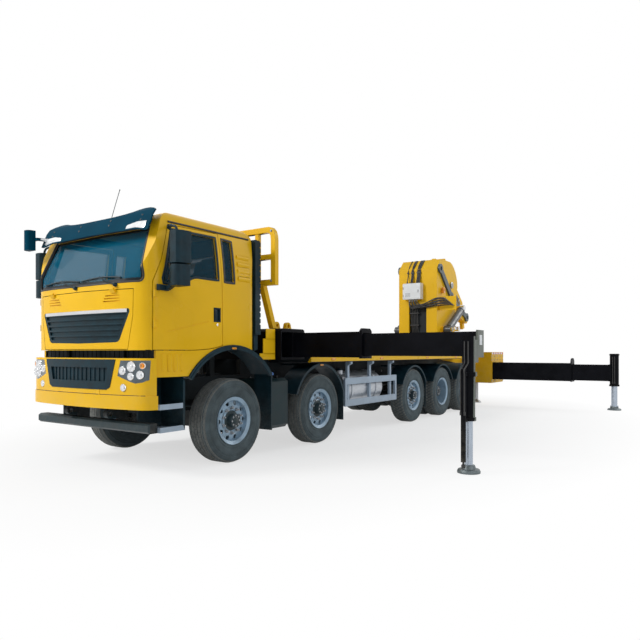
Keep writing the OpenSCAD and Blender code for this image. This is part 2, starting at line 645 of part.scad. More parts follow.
// Grille: one curved plate with slots cut between its bars, closed at the back
module grille() {
  slots = 5;
  slot_h = 42;
  pitch = 64;
  color("#26282a") in_cab() difference() {
    intersection() {
      front_layer(4, grille_depth - seat);
      grille_cut(-seat);
    }
    intersection() {
      front_layer(-40, grille_depth - 7);
      yz(nose - 200, nose + 100, inset(grille_face, 38));
      union() for (i = [0 : slots - 1])
        box(nose - 210, nose + 110, -900, 900, 428 + pitch * i, 428 + pitch * i + slot_h);
    }
  }
}

// Dark trim: visor shell, intake, lower grille and the front mirror
visor_half = concat([[0, cab_h - 262], [cab_half_w - 320, cab_h - 275], [cab_half_w - 130, cab_h - 312],
  [cab_half_w - 90, cab_h - 300], [cab_half_w - 95, cab_h - 60]],
  curve([cab_half_w - 95, cab_h - 60], [cab_half_w - 180, cab_h - 2], [cab_half_w - 330, cab_h + 8],
    [cab_half_w - 430, cab_h - 12], 4),
  curve([cab_half_w - 430, cab_h - 12], [cab_half_w - 560, cab_h - 45], [cab_half_w - 640, cab_h - 62],
    [0, cab_h - 58], 4));
module visor() {
  shell = 16;
  intersection() {
    difference() { cab_form(-visor_gap - shell); cab_form(-visor_gap); }
    yz(nose - 420, nose + 300, mirrored(visor_half));
  }
  intersection() {
    both() for (y = [330, cab_half_w - 330])
      xz(y, y + 40, [[nose - 60, cab_h - 170], [nose - 200, cab_h - 75], [nose - 420, cab_h - 80],
        [nose - 300, cab_h - 170]]);
    difference() { cab_form(-visor_gap - 3); cab_form(-seat); }
  }
}
module intake() {
  ribs = 16;
  h0 = 520;
  pitch = 80;
  y1 = cab_half_w - 10;
  edge = [for (i = [0 : ribs - 1]) each [[back - 110, h0 + pitch * i], [back - 110, h0 + pitch * i + 52],
    [back - 92, h0 + pitch * i + 60], [back - 92, h0 + pitch * i + 72]]];
  xz(y1 - 180, y1, concat([[back - seat, h0]], edge, [[back - seat, h0 + pitch * ribs]]));
  xz(y1 - 150, y1 - 30, [[back - seat, h0 - 220], [back - 80, h0 - 200], [back - 80, h0 + 1],
    [back - seat, h0 + 1]]);
}
module front_mirror() {
  y = -cab_half_w;
  translate([nose + 10, 0, 0]) right() mirror_head(-70, 30, cab_half_w - 80, cab_half_w + 70,
    cab_h - 350, cab_h - 90, 12);
  xy(cab_h - 225, cab_h - 190, [[nose - 205, y + 150], [nose - 75, y + 110], [nose - 75, y + 40],
    [nose - 40, y + 40],
    [nose - 40, y + 140], [nose - 190, y + 190]]);
}
module cab_trim() {
  color("#1d1e20") {
    in_cab() {
      union() { visor(); front_mirror(); }
      intake();
    }
    lower_grille();
  }
}

// Dash, seats and steering wheel
module cab_interior() {
  dash_gap = 40;
  color("#3a3b3e") in_cab() {
    intersection() {
      xz(-cab_half_w, cab_half_w, concat([[nose - 131 - seat, floor_h + seat], [nose - 131 - seat, 1000]],
        curve([nose - 131 - seat, 1000], [nose - 260, 1025], [nose - 400, 1010], [nose - 540, 930], 4),
        [[nose - 520, 800], [nose - 330, 760], [nose - 320, floor_h + seat]]));
      cab_form(wall_t + dash_gap);
    }
    both() union() {
      xz(320, 880, [[-150, floor_h + seat], [400, floor_h + seat], [400, 800], [380, 860], [300, 870],
        [-60, 850], [-150, 850]]);
      xz(330, 870, concat([[-60, 840], [70, 850]], curve([70, 850], [10, 1100], [-60, 1250],
        [-130, 1500], 3),
        curve([-130, 1500], [-150, 1540], [-230, 1540], [-250, 1500], 3)));
    }
  }
  color("#202123") in_cab() translate([700, 600, 1000]) rotate([0, -55, 0]) {
    rotate_extrude() translate([215, 0]) circle(r = 16);
    box(-205, 205, -20, 20, -10, 10);
    translate([0, 0, -240]) cylinder(h = 240, r = 32);
  }
}

// Bumper: a bent plan outline with a lower lip, lamp and grille openings
bumper_x = ax1 + front_overhang;
bumper_z0 = rail_z0 - 10;
bumper_z1 = cab_z + 215;
bumper_half = concat([[bumper_x, 0]],
  curve([bumper_x, 0], [bumper_x - 5, 350], [bumper_x - 20, 620], [bumper_x - 62, cab_half_w - 290], 4),
  curve([bumper_x - 62, cab_half_w - 290], [bumper_x - 80, cab_half_w - 110],
    [bumper_x - 130, cab_half_w + 4],
    [bumper_x - 240, cab_half_w + 10], 5), [[bumper_x - 256, cab_half_w + 10]]);
bumper_plan = mirrored_y(bumper_half);
module bumper_form(d) { xy(bumper_z0 - 50, bumper_z1 + 50, inset(bumper_plan, d)); }
// A shell of the bumper's outline from d to e inside its face, between two heights
module bumper_shell(d, e, z0, z1) {
  intersection() {
    difference() {
      bumper_form(d);
      bumper_form(e);
      box(bumper_x - 300, bumper_x - 250 + e, e - cab_half_w - 10, cab_half_w + 10 - e, bumper_z0 - 60,
        bumper_z1 + 60);
    }
    box(bumper_x - 400, bumper_x + 50, -cab_half_w - 50, cab_half_w + 50, z0, z1);
  }
}
lamp_face = concat([[cab_half_w - 390, bumper_z1 - 25], [cab_half_w - 435, bumper_z1 - 200],
  [cab_half_w - 240, bumper_z1 - 265]],
  curve([cab_half_w - 240, bumper_z1 - 265], [cab_half_w - 200, bumper_z1 - 300],
    [cab_half_w - 60, bumper_z1 - 270],
    [cab_half_w - 30, bumper_z1 - 240], 3), [[cab_half_w - 20, bumper_z1 - 25]]);
module lamp_cut(g) { both() yz(bumper_x - 300, bumper_x + 100, inset(lamp_face, -g)); }
module fog_cut(g) { both() xcyl(cab_half_w - 345, bumper_z1 - 330, bumper_x - 300, bumper_x + 100,
  46 + g); }
lower_half = [[0, bumper_z1 - 360], [540, bumper_z1 - 360], [600, bumper_z1 - 330],
  [690, bumper_z1 - 15], [0, bumper_z1 - 15]];
module lower_cut(g, d) {
  yz(bumper_x - 300, bumper_x + 100, inset(mirrored(lower_half), d - g));
}
module bumper() {
  skin = 34;
  lip = bumper_z0 + 155;
  color("#e8a800") difference() {
    union() {
      bumper_shell(10, skin, lip - 1, bumper_z1);
      bumper_shell(0, skin, bumper_z0, lip);
      both() box(frame_x1 + seat, bumper_x - 20, rail_in + 8, rail_out, bumper_z0 + 130, bumper_z0 + 220);
    }
    lamp_cut(0);
    fog_cut(0);
    lower_cut(0, 0);
  }
}
module lower_grille() {
  difference() {
    intersection() {
      union() {
        difference() { bumper_shell(4, 34, bumper_z0, bumper_z1); lower_cut(0, 95); }
        bumper_shell(26, 34, bumper_z0, bumper_z1);
        intersection() {
          bumper_shell(16, 30, bumper_z0, bumper_z1);
          union() for (y = [-480 : 80 : 480]) box(ax1, bumper_x, y - 9, y + 9, 0, bumper_z1);
        }
      }
      lower_cut(-seat, 0);
    }
  }
}
module lamps() {
  color("#dfe6ea") {
    intersection() { bumper_shell(12, 30, bumper_z0, bumper_z1); lamp_cut(-seat); }
    intersection() { bumper_shell(14, 30, bumper_z0, bumper_z1); fog_cut(-seat); }
  }
}

// Frame behind the cab, with its foot on the subframe
module headboard() {
  x0 = ax1 - 790;
  x1 = ax1 - 710;
  h0 = cab_z + 1210;
  top = cab_z + 2020;
  w = deck_half_w + 20;
  foot_z = fo_z1 + 60 + seat;
  color("#e8a800") union() {
    both() {
      yz(x0, x1, concat([[w - 80, h0], [w, h0], [w, top - 190]],
        curve([w, top - 190], [w, top - 90], [w - 40, top], [w - 120, top], 4), [[0, top], [0, top - 80]],
        [[w - 140, top - 80]], curve([w - 140, top - 80], [w - 100, top - 80], [w - 80, top - 120],
          [w - 80, top - 180], 3)));
      for (y = [540, 900]) box(x0 + 10, x1 - 10, y, y + 60, h0 + 70, top - 70);
      box(x0, x1, 0, w - 70, h0 + 360, h0 + 430);
      box(x0, x1, 0, w - 70, h0, h0 + 80);
      difference() {
        bar([x1 - 40, h0 + 60], [ax1 - 1020, foot_z - 60], 960, 1040, 80);
        box(ax1 - 1600, ax1 - 900, 900, 1100, foot_z - 150, foot_z);
      }
      box(x0, x1, 420, 500, foot_z - 190, h0 + 10);
    }
    box(ax1 - 930 + seat, x1, -500, 500, foot_z - 190, foot_z - 110);
  }
}

// Front outrigger box, beams, arms and feet
module front_outrigger_box() {
  x0 = ax1 - 1500;
  x1 = ax1 - 930;
  top = fo_z1 + 60;
  color("#1b1c1e") difference() {
    union() {
      xz(-fo_box_w, fo_box_w, [[x0, sub_z], [x1, sub_z], [x1, top - 40], [x1 - 40, top], [x0 + 40, top],
        [x0, top - 40]]);
      // End flanges and the lifting lugs on top
      both() {
        box(x0 - 20, x1 - 10, fo_box_w - 60, fo_box_w - 20, sub_z, top - 10);
        for (x = [fo_l - 70, fo_r - 70]) xz(900, 960, concat([[x - 80, top - 5]],
          [for (i = [6 : -1 : 0]) [x + 60 * cos(i * 30), top + 50 + 60 * sin(i * 30)]],
            [[x + 80, top - 5]]));
      }
    }
    for (x = [fo_l, fo_r])
      box(x - fo_half - clear, x + fo_half + clear, -fo_box_w - 60, fo_box_w + 60, fo_z0 - seat,
        fo_z1 + clear);
    both() for (x = [fo_l - 70, fo_r - 70]) ycyl(x, top + 50, 890, 970, 26);
  }
}
module front_beam(x) {
  color("#1b1c1e") union() {
    tube(x, fo_half, 50, front_foot_y - 1530, fo_z0, fo_z1, beam_t);
    // Collar at the outer end
    difference() {
      xz(front_foot_y - 1570, front_foot_y - 1530, [[x - fo_half - 20, fo_z0 - 14],
        [x + fo_half + 20, fo_z0 - 14],
        [x + fo_half + 20, fo_z1 + 10], [x + fo_half - 20, fo_z1 + 45], [x - fo_half + 20, fo_z1 + 45],
          [x - fo_half - 20, fo_z1 + 10]]);
      box(x - fo_half + beam_t, x + fo_half - beam_t, 0, front_foot_y, fo_z0 + beam_t, fo_z1 - beam_t);
    }
  }
}
// Arm in a beam at x with its leg at lx
module front_arm(x, lx) {
  dir = lx > x ? 1 : -1;
  half = fo_half - beam_t - clear;
  y = front_foot_y;
  guide_r = 29;
  guide_x = foot_r + guide_r + 2 * clear;
  color("#1b1c1e") difference() {
    union() {
      tube(x, half, y - 2310, y + 30, fo_z0 + beam_t + seat, fo_z1 - beam_t - clear, 14);
      box(x - half - 18, x + half + 18, y + 30, y + 50, fo_z0 + 10, fo_z1 - 10);
      // Leg tube on its bracket, with a collar, a cap and a slim guide tube
      xy(fo_z0 - 50, fo_z0 + 220, [[x + dir * (half - 10), y - 85], [lx, y - 85], [lx + dir * 60, y - 50],
        [lx + dir * 60, y + 45], [x + dir * (half - 10), y + 50]]);
      zcyl(lx, y, fo_z0 - 730, fo_z0 + 260, leg_r);
      zcyl(lx, y, fo_z0 - 210, fo_z0 - 160, leg_r + 20);
      zcyl(lx, y, fo_z0 - 730, fo_z0 - 690, leg_r + 12);
      zcyl(lx + dir * guide_x, y, 150, fo_z0 - 120, guide_r);
      for (z = [fo_z0 - 205, fo_z0 - 730]) xy(z, z + 45, [[lx, y - 24], [lx + dir * (guide_x + 18), y - 24],
        [lx + dir * (guide_x + 18), y + 24], [lx, y + 24]]);
    }
    zcyl(lx, y, fo_z0 - 740, fo_z0 - 50, leg_rod_r + run);
  }
}
module front_foot(lx) {
  color("#a8adb0") translate([lx, front_foot_y, 0]) rotate_extrude()
    polygon([[0, 0], [foot_r, 0], [foot_r, 22], [foot_r - 12, 42], [85, 48], [70, 90], [leg_rod_r, 96],
      [leg_rod_r, fo_z0 - 520], [0, fo_z0 - 520]]);
}
module front_beam_left() { front_beam(fo_l); }
module front_beam_right() { right() front_beam(fo_r); }
module front_arm_left() { front_arm(fo_l, fo_r); }
module front_arm_right() { right() front_arm(fo_r, fo_l); }
module front_foot_left() { front_foot(fo_r); }
module front_foot_right() { right() front_foot(fo_l); }

// Load deck with its side rails, cross bearers and rope hooks
module load_deck() {
  span = deck_x1 - deck_x0 - 80;
  bearers = 9;
  color("#e8a800") union() {
    box(deck_x0, deck_x1, -deck_half_w, deck_half_w, sub_z, deck_z);
    both() {
      yz(deck_x0, deck_x1, [[deck_half_w - 60, sub_z - 50], [deck_half_w - 10, sub_z - 50],
        [deck_half_w, sub_z - 40],
        [deck_half_w, sub_z + 5], [deck_half_w - 60, sub_z + 5]]);
      for (i = [0 : bearers]) yz(deck_x0 + span * i / bearers, deck_x0 + span * i / bearers + 80,
        [[rail_out, sub_z - 60], [rail_out + 120, sub_z - 60], [deck_half_w - 55, sub_z - 30],
          [deck_half_w - 55, sub_z + 5], [rail_out, sub_z + 5]]);
    }
  }
}

// Subframe and slewing base
module crane_base() {
  ring_r = 500;
  color("#e8a800") union() {
    both() {
      box(box_front_x, ax1 - 935, rail_in, rail_out, rail_z1, sub_z);
      // Gussets under the base
      for (x = [slew_x - 400, slew_x, slew_x + 400])
        yz(x - 15, x + 15, [[520, sub_z], [820, sub_z], [820, sub_z + 40], [570, sub_z + 255],
          [520, sub_z + 255]]);
    }
    box(slew_x - 560, slew_x + 560, -840, 840, sub_z - 60, sub_z + 25);
    xy(sub_z - 60, sub_z + 255, [[slew_x - 560, -480], [slew_x - 480, -560], [slew_x + 480, -560],
      [slew_x + 560, -480],
      [slew_x + 560, 480], [slew_x + 480, 560], [slew_x - 480, 560], [slew_x - 560, 480]]);
    translate([slew_x, 0, sub_z + 254]) rotate_extrude()
      polygon([[0, 0], [ring_r + 60, 0], [ring_r + 60, 40], [ring_r, 60], [ring_r, 201], [0, 201]]);
  }
}
module rear_outrigger_box() {
  z0 = ro_z0 - 100;
  z1 = ro_z1 + 280;
  w = deck_half_w;
  color("#e8a800") difference() {
    union() {
      xz(-w, w, [[rear_x + 30, z0], [box_front_x, z0], [box_front_x, z1], [rear_x, z1],
        [rear_x, z0 + 120]]);
      both() xz(w - 30, w + 12, [[ro_r - ro_half - 45, ro_z0 - 30], [ro_l + ro_half + 40, ro_z0 - 30],
        [ro_l + ro_half + 40, ro_z1 + 40], [ro_r - ro_half - 45, ro_z1 + 40]]);
    }
    for (x = [ro_l, ro_r]) box(x - ro_half - clear, x + ro_half + clear, -w - 50, w + 50, ro_z0 - seat,
      ro_z1 + clear);
    both() zcyl(rear_x + 520, jack_y, z0 - 80, z1 - 20, jack_r + run);
  }
}
module rear_jacks() {
  color("#9aa0a4") both() translate([rear_x + 520, jack_y, 0]) rotate_extrude()
    polygon([[0, 0], [foot_r, 0], [foot_r, 20], [foot_r - 15, 42], [80, 60], [jack_r, 90],
      [jack_r, ro_z0 + 280], [0, ro_z0 + 280]]);
}
module rear_beam(x) {
  y1 = rear_foot_y - 940;
  color("#1b1c1e") union() {
    tube(x, ro_half, 750, y1, ro_z0, ro_z1, beam_t + 2);
    // Raised collar at the outer end
    difference() {
      xz(y1 - 28, y1, concat([[x - ro_half - 4, ro_z0 - 14], [x + ro_half + 4, ro_z0 - 14],
        [x + ro_half + 4, ro_z1 + 30]],
        curve([x + ro_half + 4, ro_z1 + 30], [x + ro_half, ro_z1 + 110], [x + 90, ro_z1 + 130],
          [x, ro_z1 + 130], 4),
        curve([x, ro_z1 + 130], [x - 90, ro_z1 + 130], [x - ro_half, ro_z1 + 110],
          [x - ro_half - 4, ro_z1 + 30], 4)));
      box(x - ro_half + beam_t, x + ro_half - beam_t, 0, rear_foot_y, ro_z0 + beam_t, ro_z1 - beam_t);
    }
  }
}
module rear_arm(x) {
  half = ro_half - beam_t - 2 - clear;
  y = rear_foot_y;
  color("#1b1c1e") difference() {
    union() {
      tube(x, half, y - 1540, y - 90, ro_z0 + beam_t + 2 + seat, ro_z1 - beam_t - 2 - clear, 16);
      zcyl(x, y, ro_z0 - 100, ro_z1 + 240, rear_leg_r);
      zcyl(x, y, ro_z0 - 100, ro_z0 - 60, rear_leg_r + 14);
      zcyl(x, y, ro_z1 + 200, ro_z1 + 225, rear_leg_r + 14);
      xy(ro_z0 + 40, ro_z1 - 40, [[x - half, y - 110], [x + half, y - 110], [x + half, y - 85],
        [x + 85, y - 20], [x - 85, y - 20], [x - half, y - 85]]);
      xy(ro_z0 + 20, ro_z1 - 20, [[x - half - 5, y - 110], [x + half + 5, y - 110],
        [x + half + 5, y - 90], [x - half - 5, y - 90]]);
    }
    zcyl(x, y, ro_z0 - 110, ro_z1 + 215, rear_rod_r + run);
  }
}
module rear_beam_left() { rear_beam(ro_l); }
module rear_beam_right() { right() rear_beam(ro_r); }
module rear_arm_left() { rear_arm(ro_l); }
module rear_arm_right() { right() rear_arm(ro_r); }
module rear_foot(x) {
  color("#a8adb0") translate([x, rear_foot_y, 0]) rotate_extrude()
    polygon([[0, 0], [foot_r + 20, 0], [foot_r + 20, 20], [foot_r, 40], [95, 48], [88, 110],
      [rear_rod_r, 116],
      [rear_rod_r, ro_z0 + 210], [0, ro_z0 + 210]]);
}
module rear_foot_left() { rear_foot(ro_l); }
module rear_foot_right() { right() rear_foot(ro_r); }

// Crane column: two side plates on a turntable, a front plate, control box, beacon and side links
module crane_column() {
  c = column_half_w;
  z = slew_z;
  front = slew_x + 720;
  top = slew_z + 1990;
  color("#e8a800") union() {
    translate([slew_x, 0, 0]) rotate_extrude() polygon([[0, z + seat], [530, z + seat], [560, z + 25],
      [560, z + 100], [0, z + 100]]);
    both() xz(column_in, c, concat([[front, z + 99], [front, top - 250], [front - 240, top],
      [slew_x - 150, top]],
      curve([slew_x - 150, top], [slew_x - 400, top - 60], [slew_x - 560, top - 240],
        [slew_x - 640, top - 480], 5),
      curve([slew_x - 640, top - 480], [slew_x - 690, top - 700], [slew_x - 560, top - 860],
        [slew_x - 450, top - 1030], 5),
      [[slew_x - 450, z + 99]]));
    xz(-column_in - 1, column_in + 1, [[front, z + 840], [front, top - 250], [front - 240, top],
      [front - 290, top - 30], [front - 50, top - 270], [front - 50, z + 840]]);
    both() {
      box(front - 60, front, column_in - 120, column_in + 1, z + 99, z + 860);
      ycyl(lift_base[0], lift_base[1], c - 10, lift_y + 115, 50);
      ycyl(lift_base[0], lift_base[1], c - 10, lift_y - lift_r - clear, 78);
    }
    ycyl(p1[0], p1[1], -c - 25, c + 25, pin_1);
    // Hose bracket on the left side
    yz(front - 104, front - 90, [[c - 5, z + 690], [c + 465, z + 690], [c + 465, z + 1030], [c + 40, z + 1030],
      [c + 40, z + 800], [c - 5, z + 800]]);
  }
  color("#3f464b") both() link([slew_x + 560, top - 250], [slew_x - 150, top - 900], 115, 150, c + seat,
    c + link_t);
  color("#e4e5e3") xz(-330, 150, [[front + seat, z + 980], [front + 170, z + 980], [front + 170, z + 1360],
    [front + 150, z + 1380], [front + seat, z + 1380]]);
  color("#e06a10") translate([slew_x + 420, c + 50, z + 1130]) union() {
    rotate_extrude() polygon([[0, 60], [44, 60], [44, 130], [30, 150], [0, 154]]);
    xz(seat - 50, 30, [[-40, 0], [40, 0], [46, 61], [-46, 61]]);
  }
}
// Inner boom with a fork at its end, side links, and lugs for both cylinders
module inner_boom() {
  b = boom_half_w;
  color("#d89a00") difference() {
    union() {
      xz(-b, b, concat(curve(on_boom(-60, 230), on_boom(-230, 160), on_boom(-240, -120), on_boom(-60,
        -220), 5),
        [on_boom(100, -235), on_boom(boom_l - 900, -60), on_boom(boom_l - 480, 40), on_boom(boom_l - 480,
          190),
        on_boom(700, 250), on_boom(100, 262), on_boom(-60, 230)]));
      both() {
        xz(b - 75, b, concat([on_boom(boom_l - 480, 190), on_boom(boom_l - 500, 30),
          on_boom(boom_l - 100, -120)],
          curve(on_boom(boom_l - 100, -120), on_boom(boom_l + 130, -140), on_boom(boom_l + 200, -60),
            on_boom(boom_l + 190, 20), 4),
          curve(on_boom(boom_l + 190, 20), on_boom(boom_l + 180, 120), on_boom(boom_l + 120, 150),
            on_boom(boom_l + 40, 160), 4)));
        ycyl(lift_eye[0], lift_eye[1], b - 10, lift_y - 65, 55);
        xz(b - 10, b + 40, [on_boom(350, 150), lift_eye + [90, -80], lift_eye + [-90, -80], on_boom(900,
          150)]);
        xz(95, 135, [on_boom(250, 200), fold_base + [40, -70], fold_base + [-70, -40], on_boom(620, 200)]);
      }
      ycyl(p2[0], p2[1], -b, b, pin_2);
      ycyl(fold_base[0], fold_base[1], -135, 135, 32);
    }
    ycyl(p1[0], p1[1], -b - 100, b + 100, pin_1 + run);
  }
  color("#3f464b") both() link(on_boom(boom_l - 960, 40), on_boom(boom_l, 0), 120, 135, b + seat,
    b + link_t);
}
// Outer boom: a box section on two heel plates, open between them for the fold cylinder
module outer_boom() {
  w = outer_half_w;
  color("#e8a800") difference() {
    union() {
      xz(-w, w, [on_outer(260, -20), on_outer(2000, -20), on_outer(2000, 320), on_outer(300, 320)]);
      xz(-w, w, concat([on_outer(400, -20), on_outer(400, 300), on_outer(300, 320), on_outer(60, 200)],
        curve(on_outer(60, 200), on_outer(-60, 180), on_outer(-150, 120), on_outer(-155, 0), 4),
        curve(on_outer(-155, 0), on_outer(-150, -90), on_outer(-60, -160), on_outer(60, -150), 4),
          [on_outer(300, -20)]));
      // End frame
      xz(-w - 18, w + 18, [on_outer(1930, -38), on_outer(2000, -38), on_outer(2000, 330), on_outer(1930,
        330)]);
      both() bar(p2, fold_eye, eye_half + 50, w - 5, 150);
    }
    xz(16 - w, w - 16, [on_outer(420, -4), on_outer(2010, -4), on_outer(2010, 304), on_outer(420, 304)]);
    xz(-eye_half - 20, eye_half + 20, [on_outer(-400, -400), on_outer(400, -400), on_outer(400, 400),
      on_outer(-400, 400)]);
    ycyl(p2[0], p2[1], -w - 100, w + 100, pin_2 + run);
  }
}
module boom_stage_1() {
  w = outer_half_w - 22;
  color("#e8a800") difference() {
    xz(-w, w, [on_outer(440, -4 + seat), on_outer(2030, -4 + seat), on_outer(2030, 298), on_outer(440,
      298)]);
    xz(14 - w, w - 14, [on_outer(430, 10), on_outer(2040, 10), on_outer(2040, 284), on_outer(430, 284)]);
  }
}
// Inner stage with the hook lug at its tip
module boom_stage_2() {
  w = outer_half_w - 42;
  tip = on_outer(2105, 150);
  color("#e8a800") difference() {
    union() {
      xz(-w, w, [on_outer(460, 10 + seat), on_outer(2050, 10 + seat), on_outer(2050, 278), on_outer(460,
        278)]);
      xz(-55, 55, [on_outer(2040, 80), on_outer(2105, 80), on_outer(2155, 105), on_outer(2165, 150),
        on_outer(2155, 195),
        on_outer(2105, 220), on_outer(2040, 220)]);
    }
    ycyl(tip[0], tip[1], -60, 60, 30);
  }
}
module lift_barrels() {
  color("#2c2e30") both() tilted(lift_base, lift_a) difference() {
    union() {
      xcyl(lift_y, 0, 70, lift_l - 150, lift_r);
      xcyl(lift_y, 0, lift_l - 190, lift_l - 145, lift_r + 8);
      ycyl(0, 0, lift_y - 80, lift_y + 90, 92);
    }
    ycyl(0, 0, lift_y - 200, lift_y + 200, 50 + run);
    xcyl(lift_y, 0, 180, lift_l, lift_rod_r + run);
  }
}
module lift_rods() {
  color("#c9cdd0") both() tilted(lift_base, lift_a) union() {
    xcyl(lift_y, 0, 190, lift_l - 60, lift_rod_r);
    ycyl(lift_l, 0, lift_y - 55, lift_y + 55, 80);
  }
}
fold_end = fold_l - 620;
module fold_barrel() {
  color("#2c2e30") tilted(fold_base, fold_cyl_a) difference() {
    union() { xcyl(0, 0, 0, fold_end, fold_r); ycyl(0, 0, -85, 85, 85); }
    xcyl(0, 0, 120, fold_l, fold_rod_r + run);
    ycyl(0, 0, -200, 200, 32 + run);
  }
}
module fold_rod() {
  color("#c9cdd0") tilted(fold_base, fold_cyl_a) union() {
    xcyl(0, 0, 660, fold_l - 40, fold_rod_r);
    ycyl(fold_l, 0, -eye_half, eye_half, 75);
  }
}

chassis_frame();
drivetrain();
tanks();
side_guards();
fenders();
cab_shell();
cab_glass();
cab_interior();
cab_trim();
bumper();
lamps();
front_flap();
grille();
door_left();
door_right();
door_glass_left();
door_glass_right();
mirror_left();
mirror_right();
headboard();
front_outrigger_box();
load_deck();
crane_base();
rear_outrigger_box();
knuckle_1_left();
knuckle_1_right();
knuckle_2_left();
knuckle_2_right();
wheel_1_left();
wheel_1_right();
wheel_2_left();
wheel_2_right();
wheel_3_left();
wheel_3_right();
wheel_4_left();
wheel_4_right();
wheel_5_left();
wheel_5_right();
crane_column();
inner_boom();
outer_boom();
boom_stage_1();
boom_stage_2();
lift_barrels();
lift_rods();
fold_barrel();
fold_rod();
front_beam_left();
front_beam_right();
front_arm_left();
front_arm_right();
front_foot_left();
front_foot_right();
rear_beam_left();
rear_beam_right();
rear_arm_left();
rear_arm_right();
rear_foot_left();
rear_foot_right();
rear_jacks();
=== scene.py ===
"""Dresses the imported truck-mounted crane: materials, small detail, studio light and the photograph's camera."""
import json
from math import atan2, cos, hypot, pi, radians, sin

import bmesh
import bpy
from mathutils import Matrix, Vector
from mathutils.bvhtree import BVHTree


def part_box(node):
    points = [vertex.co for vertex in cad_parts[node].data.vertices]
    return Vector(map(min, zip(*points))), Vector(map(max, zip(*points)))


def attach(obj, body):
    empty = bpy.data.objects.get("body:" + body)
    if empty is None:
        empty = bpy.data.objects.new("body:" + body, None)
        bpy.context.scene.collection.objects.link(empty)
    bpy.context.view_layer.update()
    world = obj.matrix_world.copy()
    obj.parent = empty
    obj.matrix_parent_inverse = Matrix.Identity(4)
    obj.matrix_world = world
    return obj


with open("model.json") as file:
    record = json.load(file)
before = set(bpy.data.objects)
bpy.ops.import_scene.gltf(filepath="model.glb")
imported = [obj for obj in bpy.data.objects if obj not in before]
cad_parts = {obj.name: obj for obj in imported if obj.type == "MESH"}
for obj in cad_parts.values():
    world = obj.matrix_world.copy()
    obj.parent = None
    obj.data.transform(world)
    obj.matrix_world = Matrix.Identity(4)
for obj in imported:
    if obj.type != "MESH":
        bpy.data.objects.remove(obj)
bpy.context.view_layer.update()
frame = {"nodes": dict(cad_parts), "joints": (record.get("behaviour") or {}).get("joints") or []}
NODES = frame["nodes"]
JOINTS = {j["name"]: j for j in frame["joints"]}
SIDES = (("left", 1), ("right", -1))
OUT = {side: Vector((0, side, 0)) for side in (1, -1)}
UP, DOWN, BACK = (0, 0, 1), (0, 0, -1), (-1, 0, 0)
scene = bpy.context.scene


def put(name, data):
    """A new object in the scene."""
    obj = bpy.data.objects.new(name, data)
    scene.collection.objects.link(obj)
    return obj


# Materials
def new_material(name):
    mat = bpy.data.materials.new(name)
    mat.use_nodes = True
    return mat, mat.node_tree, mat.node_tree.nodes["Principled BSDF"]


def fill(node, values):
    """Sets a node's inputs and settings, and links the inputs that are given another node's output."""
    for key, value in values.items():
        if key not in node.inputs:
            setattr(node, key, value)
        elif isinstance(value, bpy.types.NodeSocket):
            node.id_data.links.new(value, node.inputs[key])
        else:
            node.inputs[key].default_value = value
    return node


def add(tree, kind, **values):
    return fill(tree.nodes.new(kind), values)


def maths(tree, operation, a, b):
    node = add(tree, "ShaderNodeMath", operation=operation)
    for source, socket in zip((a, b), node.inputs):
        tree.links.new(source, socket)
    return node.outputs[0]


def spot_on(tree):
    return add(tree, "ShaderNodeTexCoord").outputs["Object"]


def noise(tree, scale, detail=4.0, stretch=None):
    spot = spot_on(tree)
    if stretch:
        spot = add(tree, "ShaderNodeMapping", Vector=spot, Scale=stretch).outputs["Vector"]
    return add(tree, "ShaderNodeTexNoise", Vector=spot, Scale=scale, Detail=detail, Roughness=0.55).outputs["Fac"]


def ramp(tree, fac, low, high, a=0.0, b=1.0):
    values = {"Value": fac, "From Min": low, "From Max": high, "To Min": a, "To Max": b}
    return add(tree, "ShaderNodeMapRange", **values).outputs["Result"]


def mix(tree, fac, a, b):
    node = add(tree, "ShaderNodeMix", data_type="RGBA")
    for socket, value in ((node.inputs[6], a), (node.inputs[7], b)):
        if isinstance(value, tuple):
            socket.default_value = (*value[:3], 1.0)
        else:
            tree.links.new(value, socket)
    tree.links.new(fac, node.inputs[0])
    return node.outputs[2]


def height(tree):
    return add(tree, "ShaderNodeSeparateXYZ", Vector=spot_on(tree)).outputs["Z"]


def surface(name, colour, rough, metal=0.0, dark=0.75, scale=6.0, coat=0.0, dust=None, grain=60.0,
            depth=0.0006, spread=0.12, stretch=None, spec=0.5):
    """A colour with cloudy variation, road dust of a colour up to a height, uneven gloss and a fine grain."""
    mat, tree, bsdf = new_material(name)
    cloud = noise(tree, scale, stretch=stretch)
    col = mix(tree, ramp(tree, cloud, 0.35, 0.65), tuple(c * dark for c in colour), colour)
    if dust:
        low = ramp(tree, height(tree), 0.2, dust[1], 0.32, 0.0)
        patchy = ramp(tree, noise(tree, scale * 4.0), 0.3, 0.75)
        col = mix(tree, maths(tree, "MULTIPLY", low, patchy), col, dust[0])
    gloss = ramp(tree, cloud, 0.3, 0.7, max(rough - spread, 0.03), min(rough + spread, 1.0))
    bump = add(tree, "ShaderNodeBump", Strength=0.25, Distance=depth, Height=noise(tree, grain, 2.0))
    fill(bsdf, {"Base Color": col, "Roughness": gloss, "Metallic": metal, "Specular IOR Level": spec,
                "Coat Weight": coat, "Coat Roughness": 0.08, "Normal": bump.outputs["Normal"]})
    return mat


def glass_material(name, colour, alpha, spec):
    """A tinted pane with a faint uneven film on it."""
    mat, tree, bsdf = new_material(name)
    film = noise(tree, 3.0)
    col = mix(tree, ramp(tree, film, 0.3, 0.7), colour, tuple(min(c * 1.15, 1.0) for c in colour))
    fill(bsdf, {"Base Color": col, "Roughness": ramp(tree, film, 0.3, 0.8, 0.04, 0.10), "Alpha": alpha,
                "Specular IOR Level": spec})
    mat.surface_render_method = "BLENDED"
    return mat


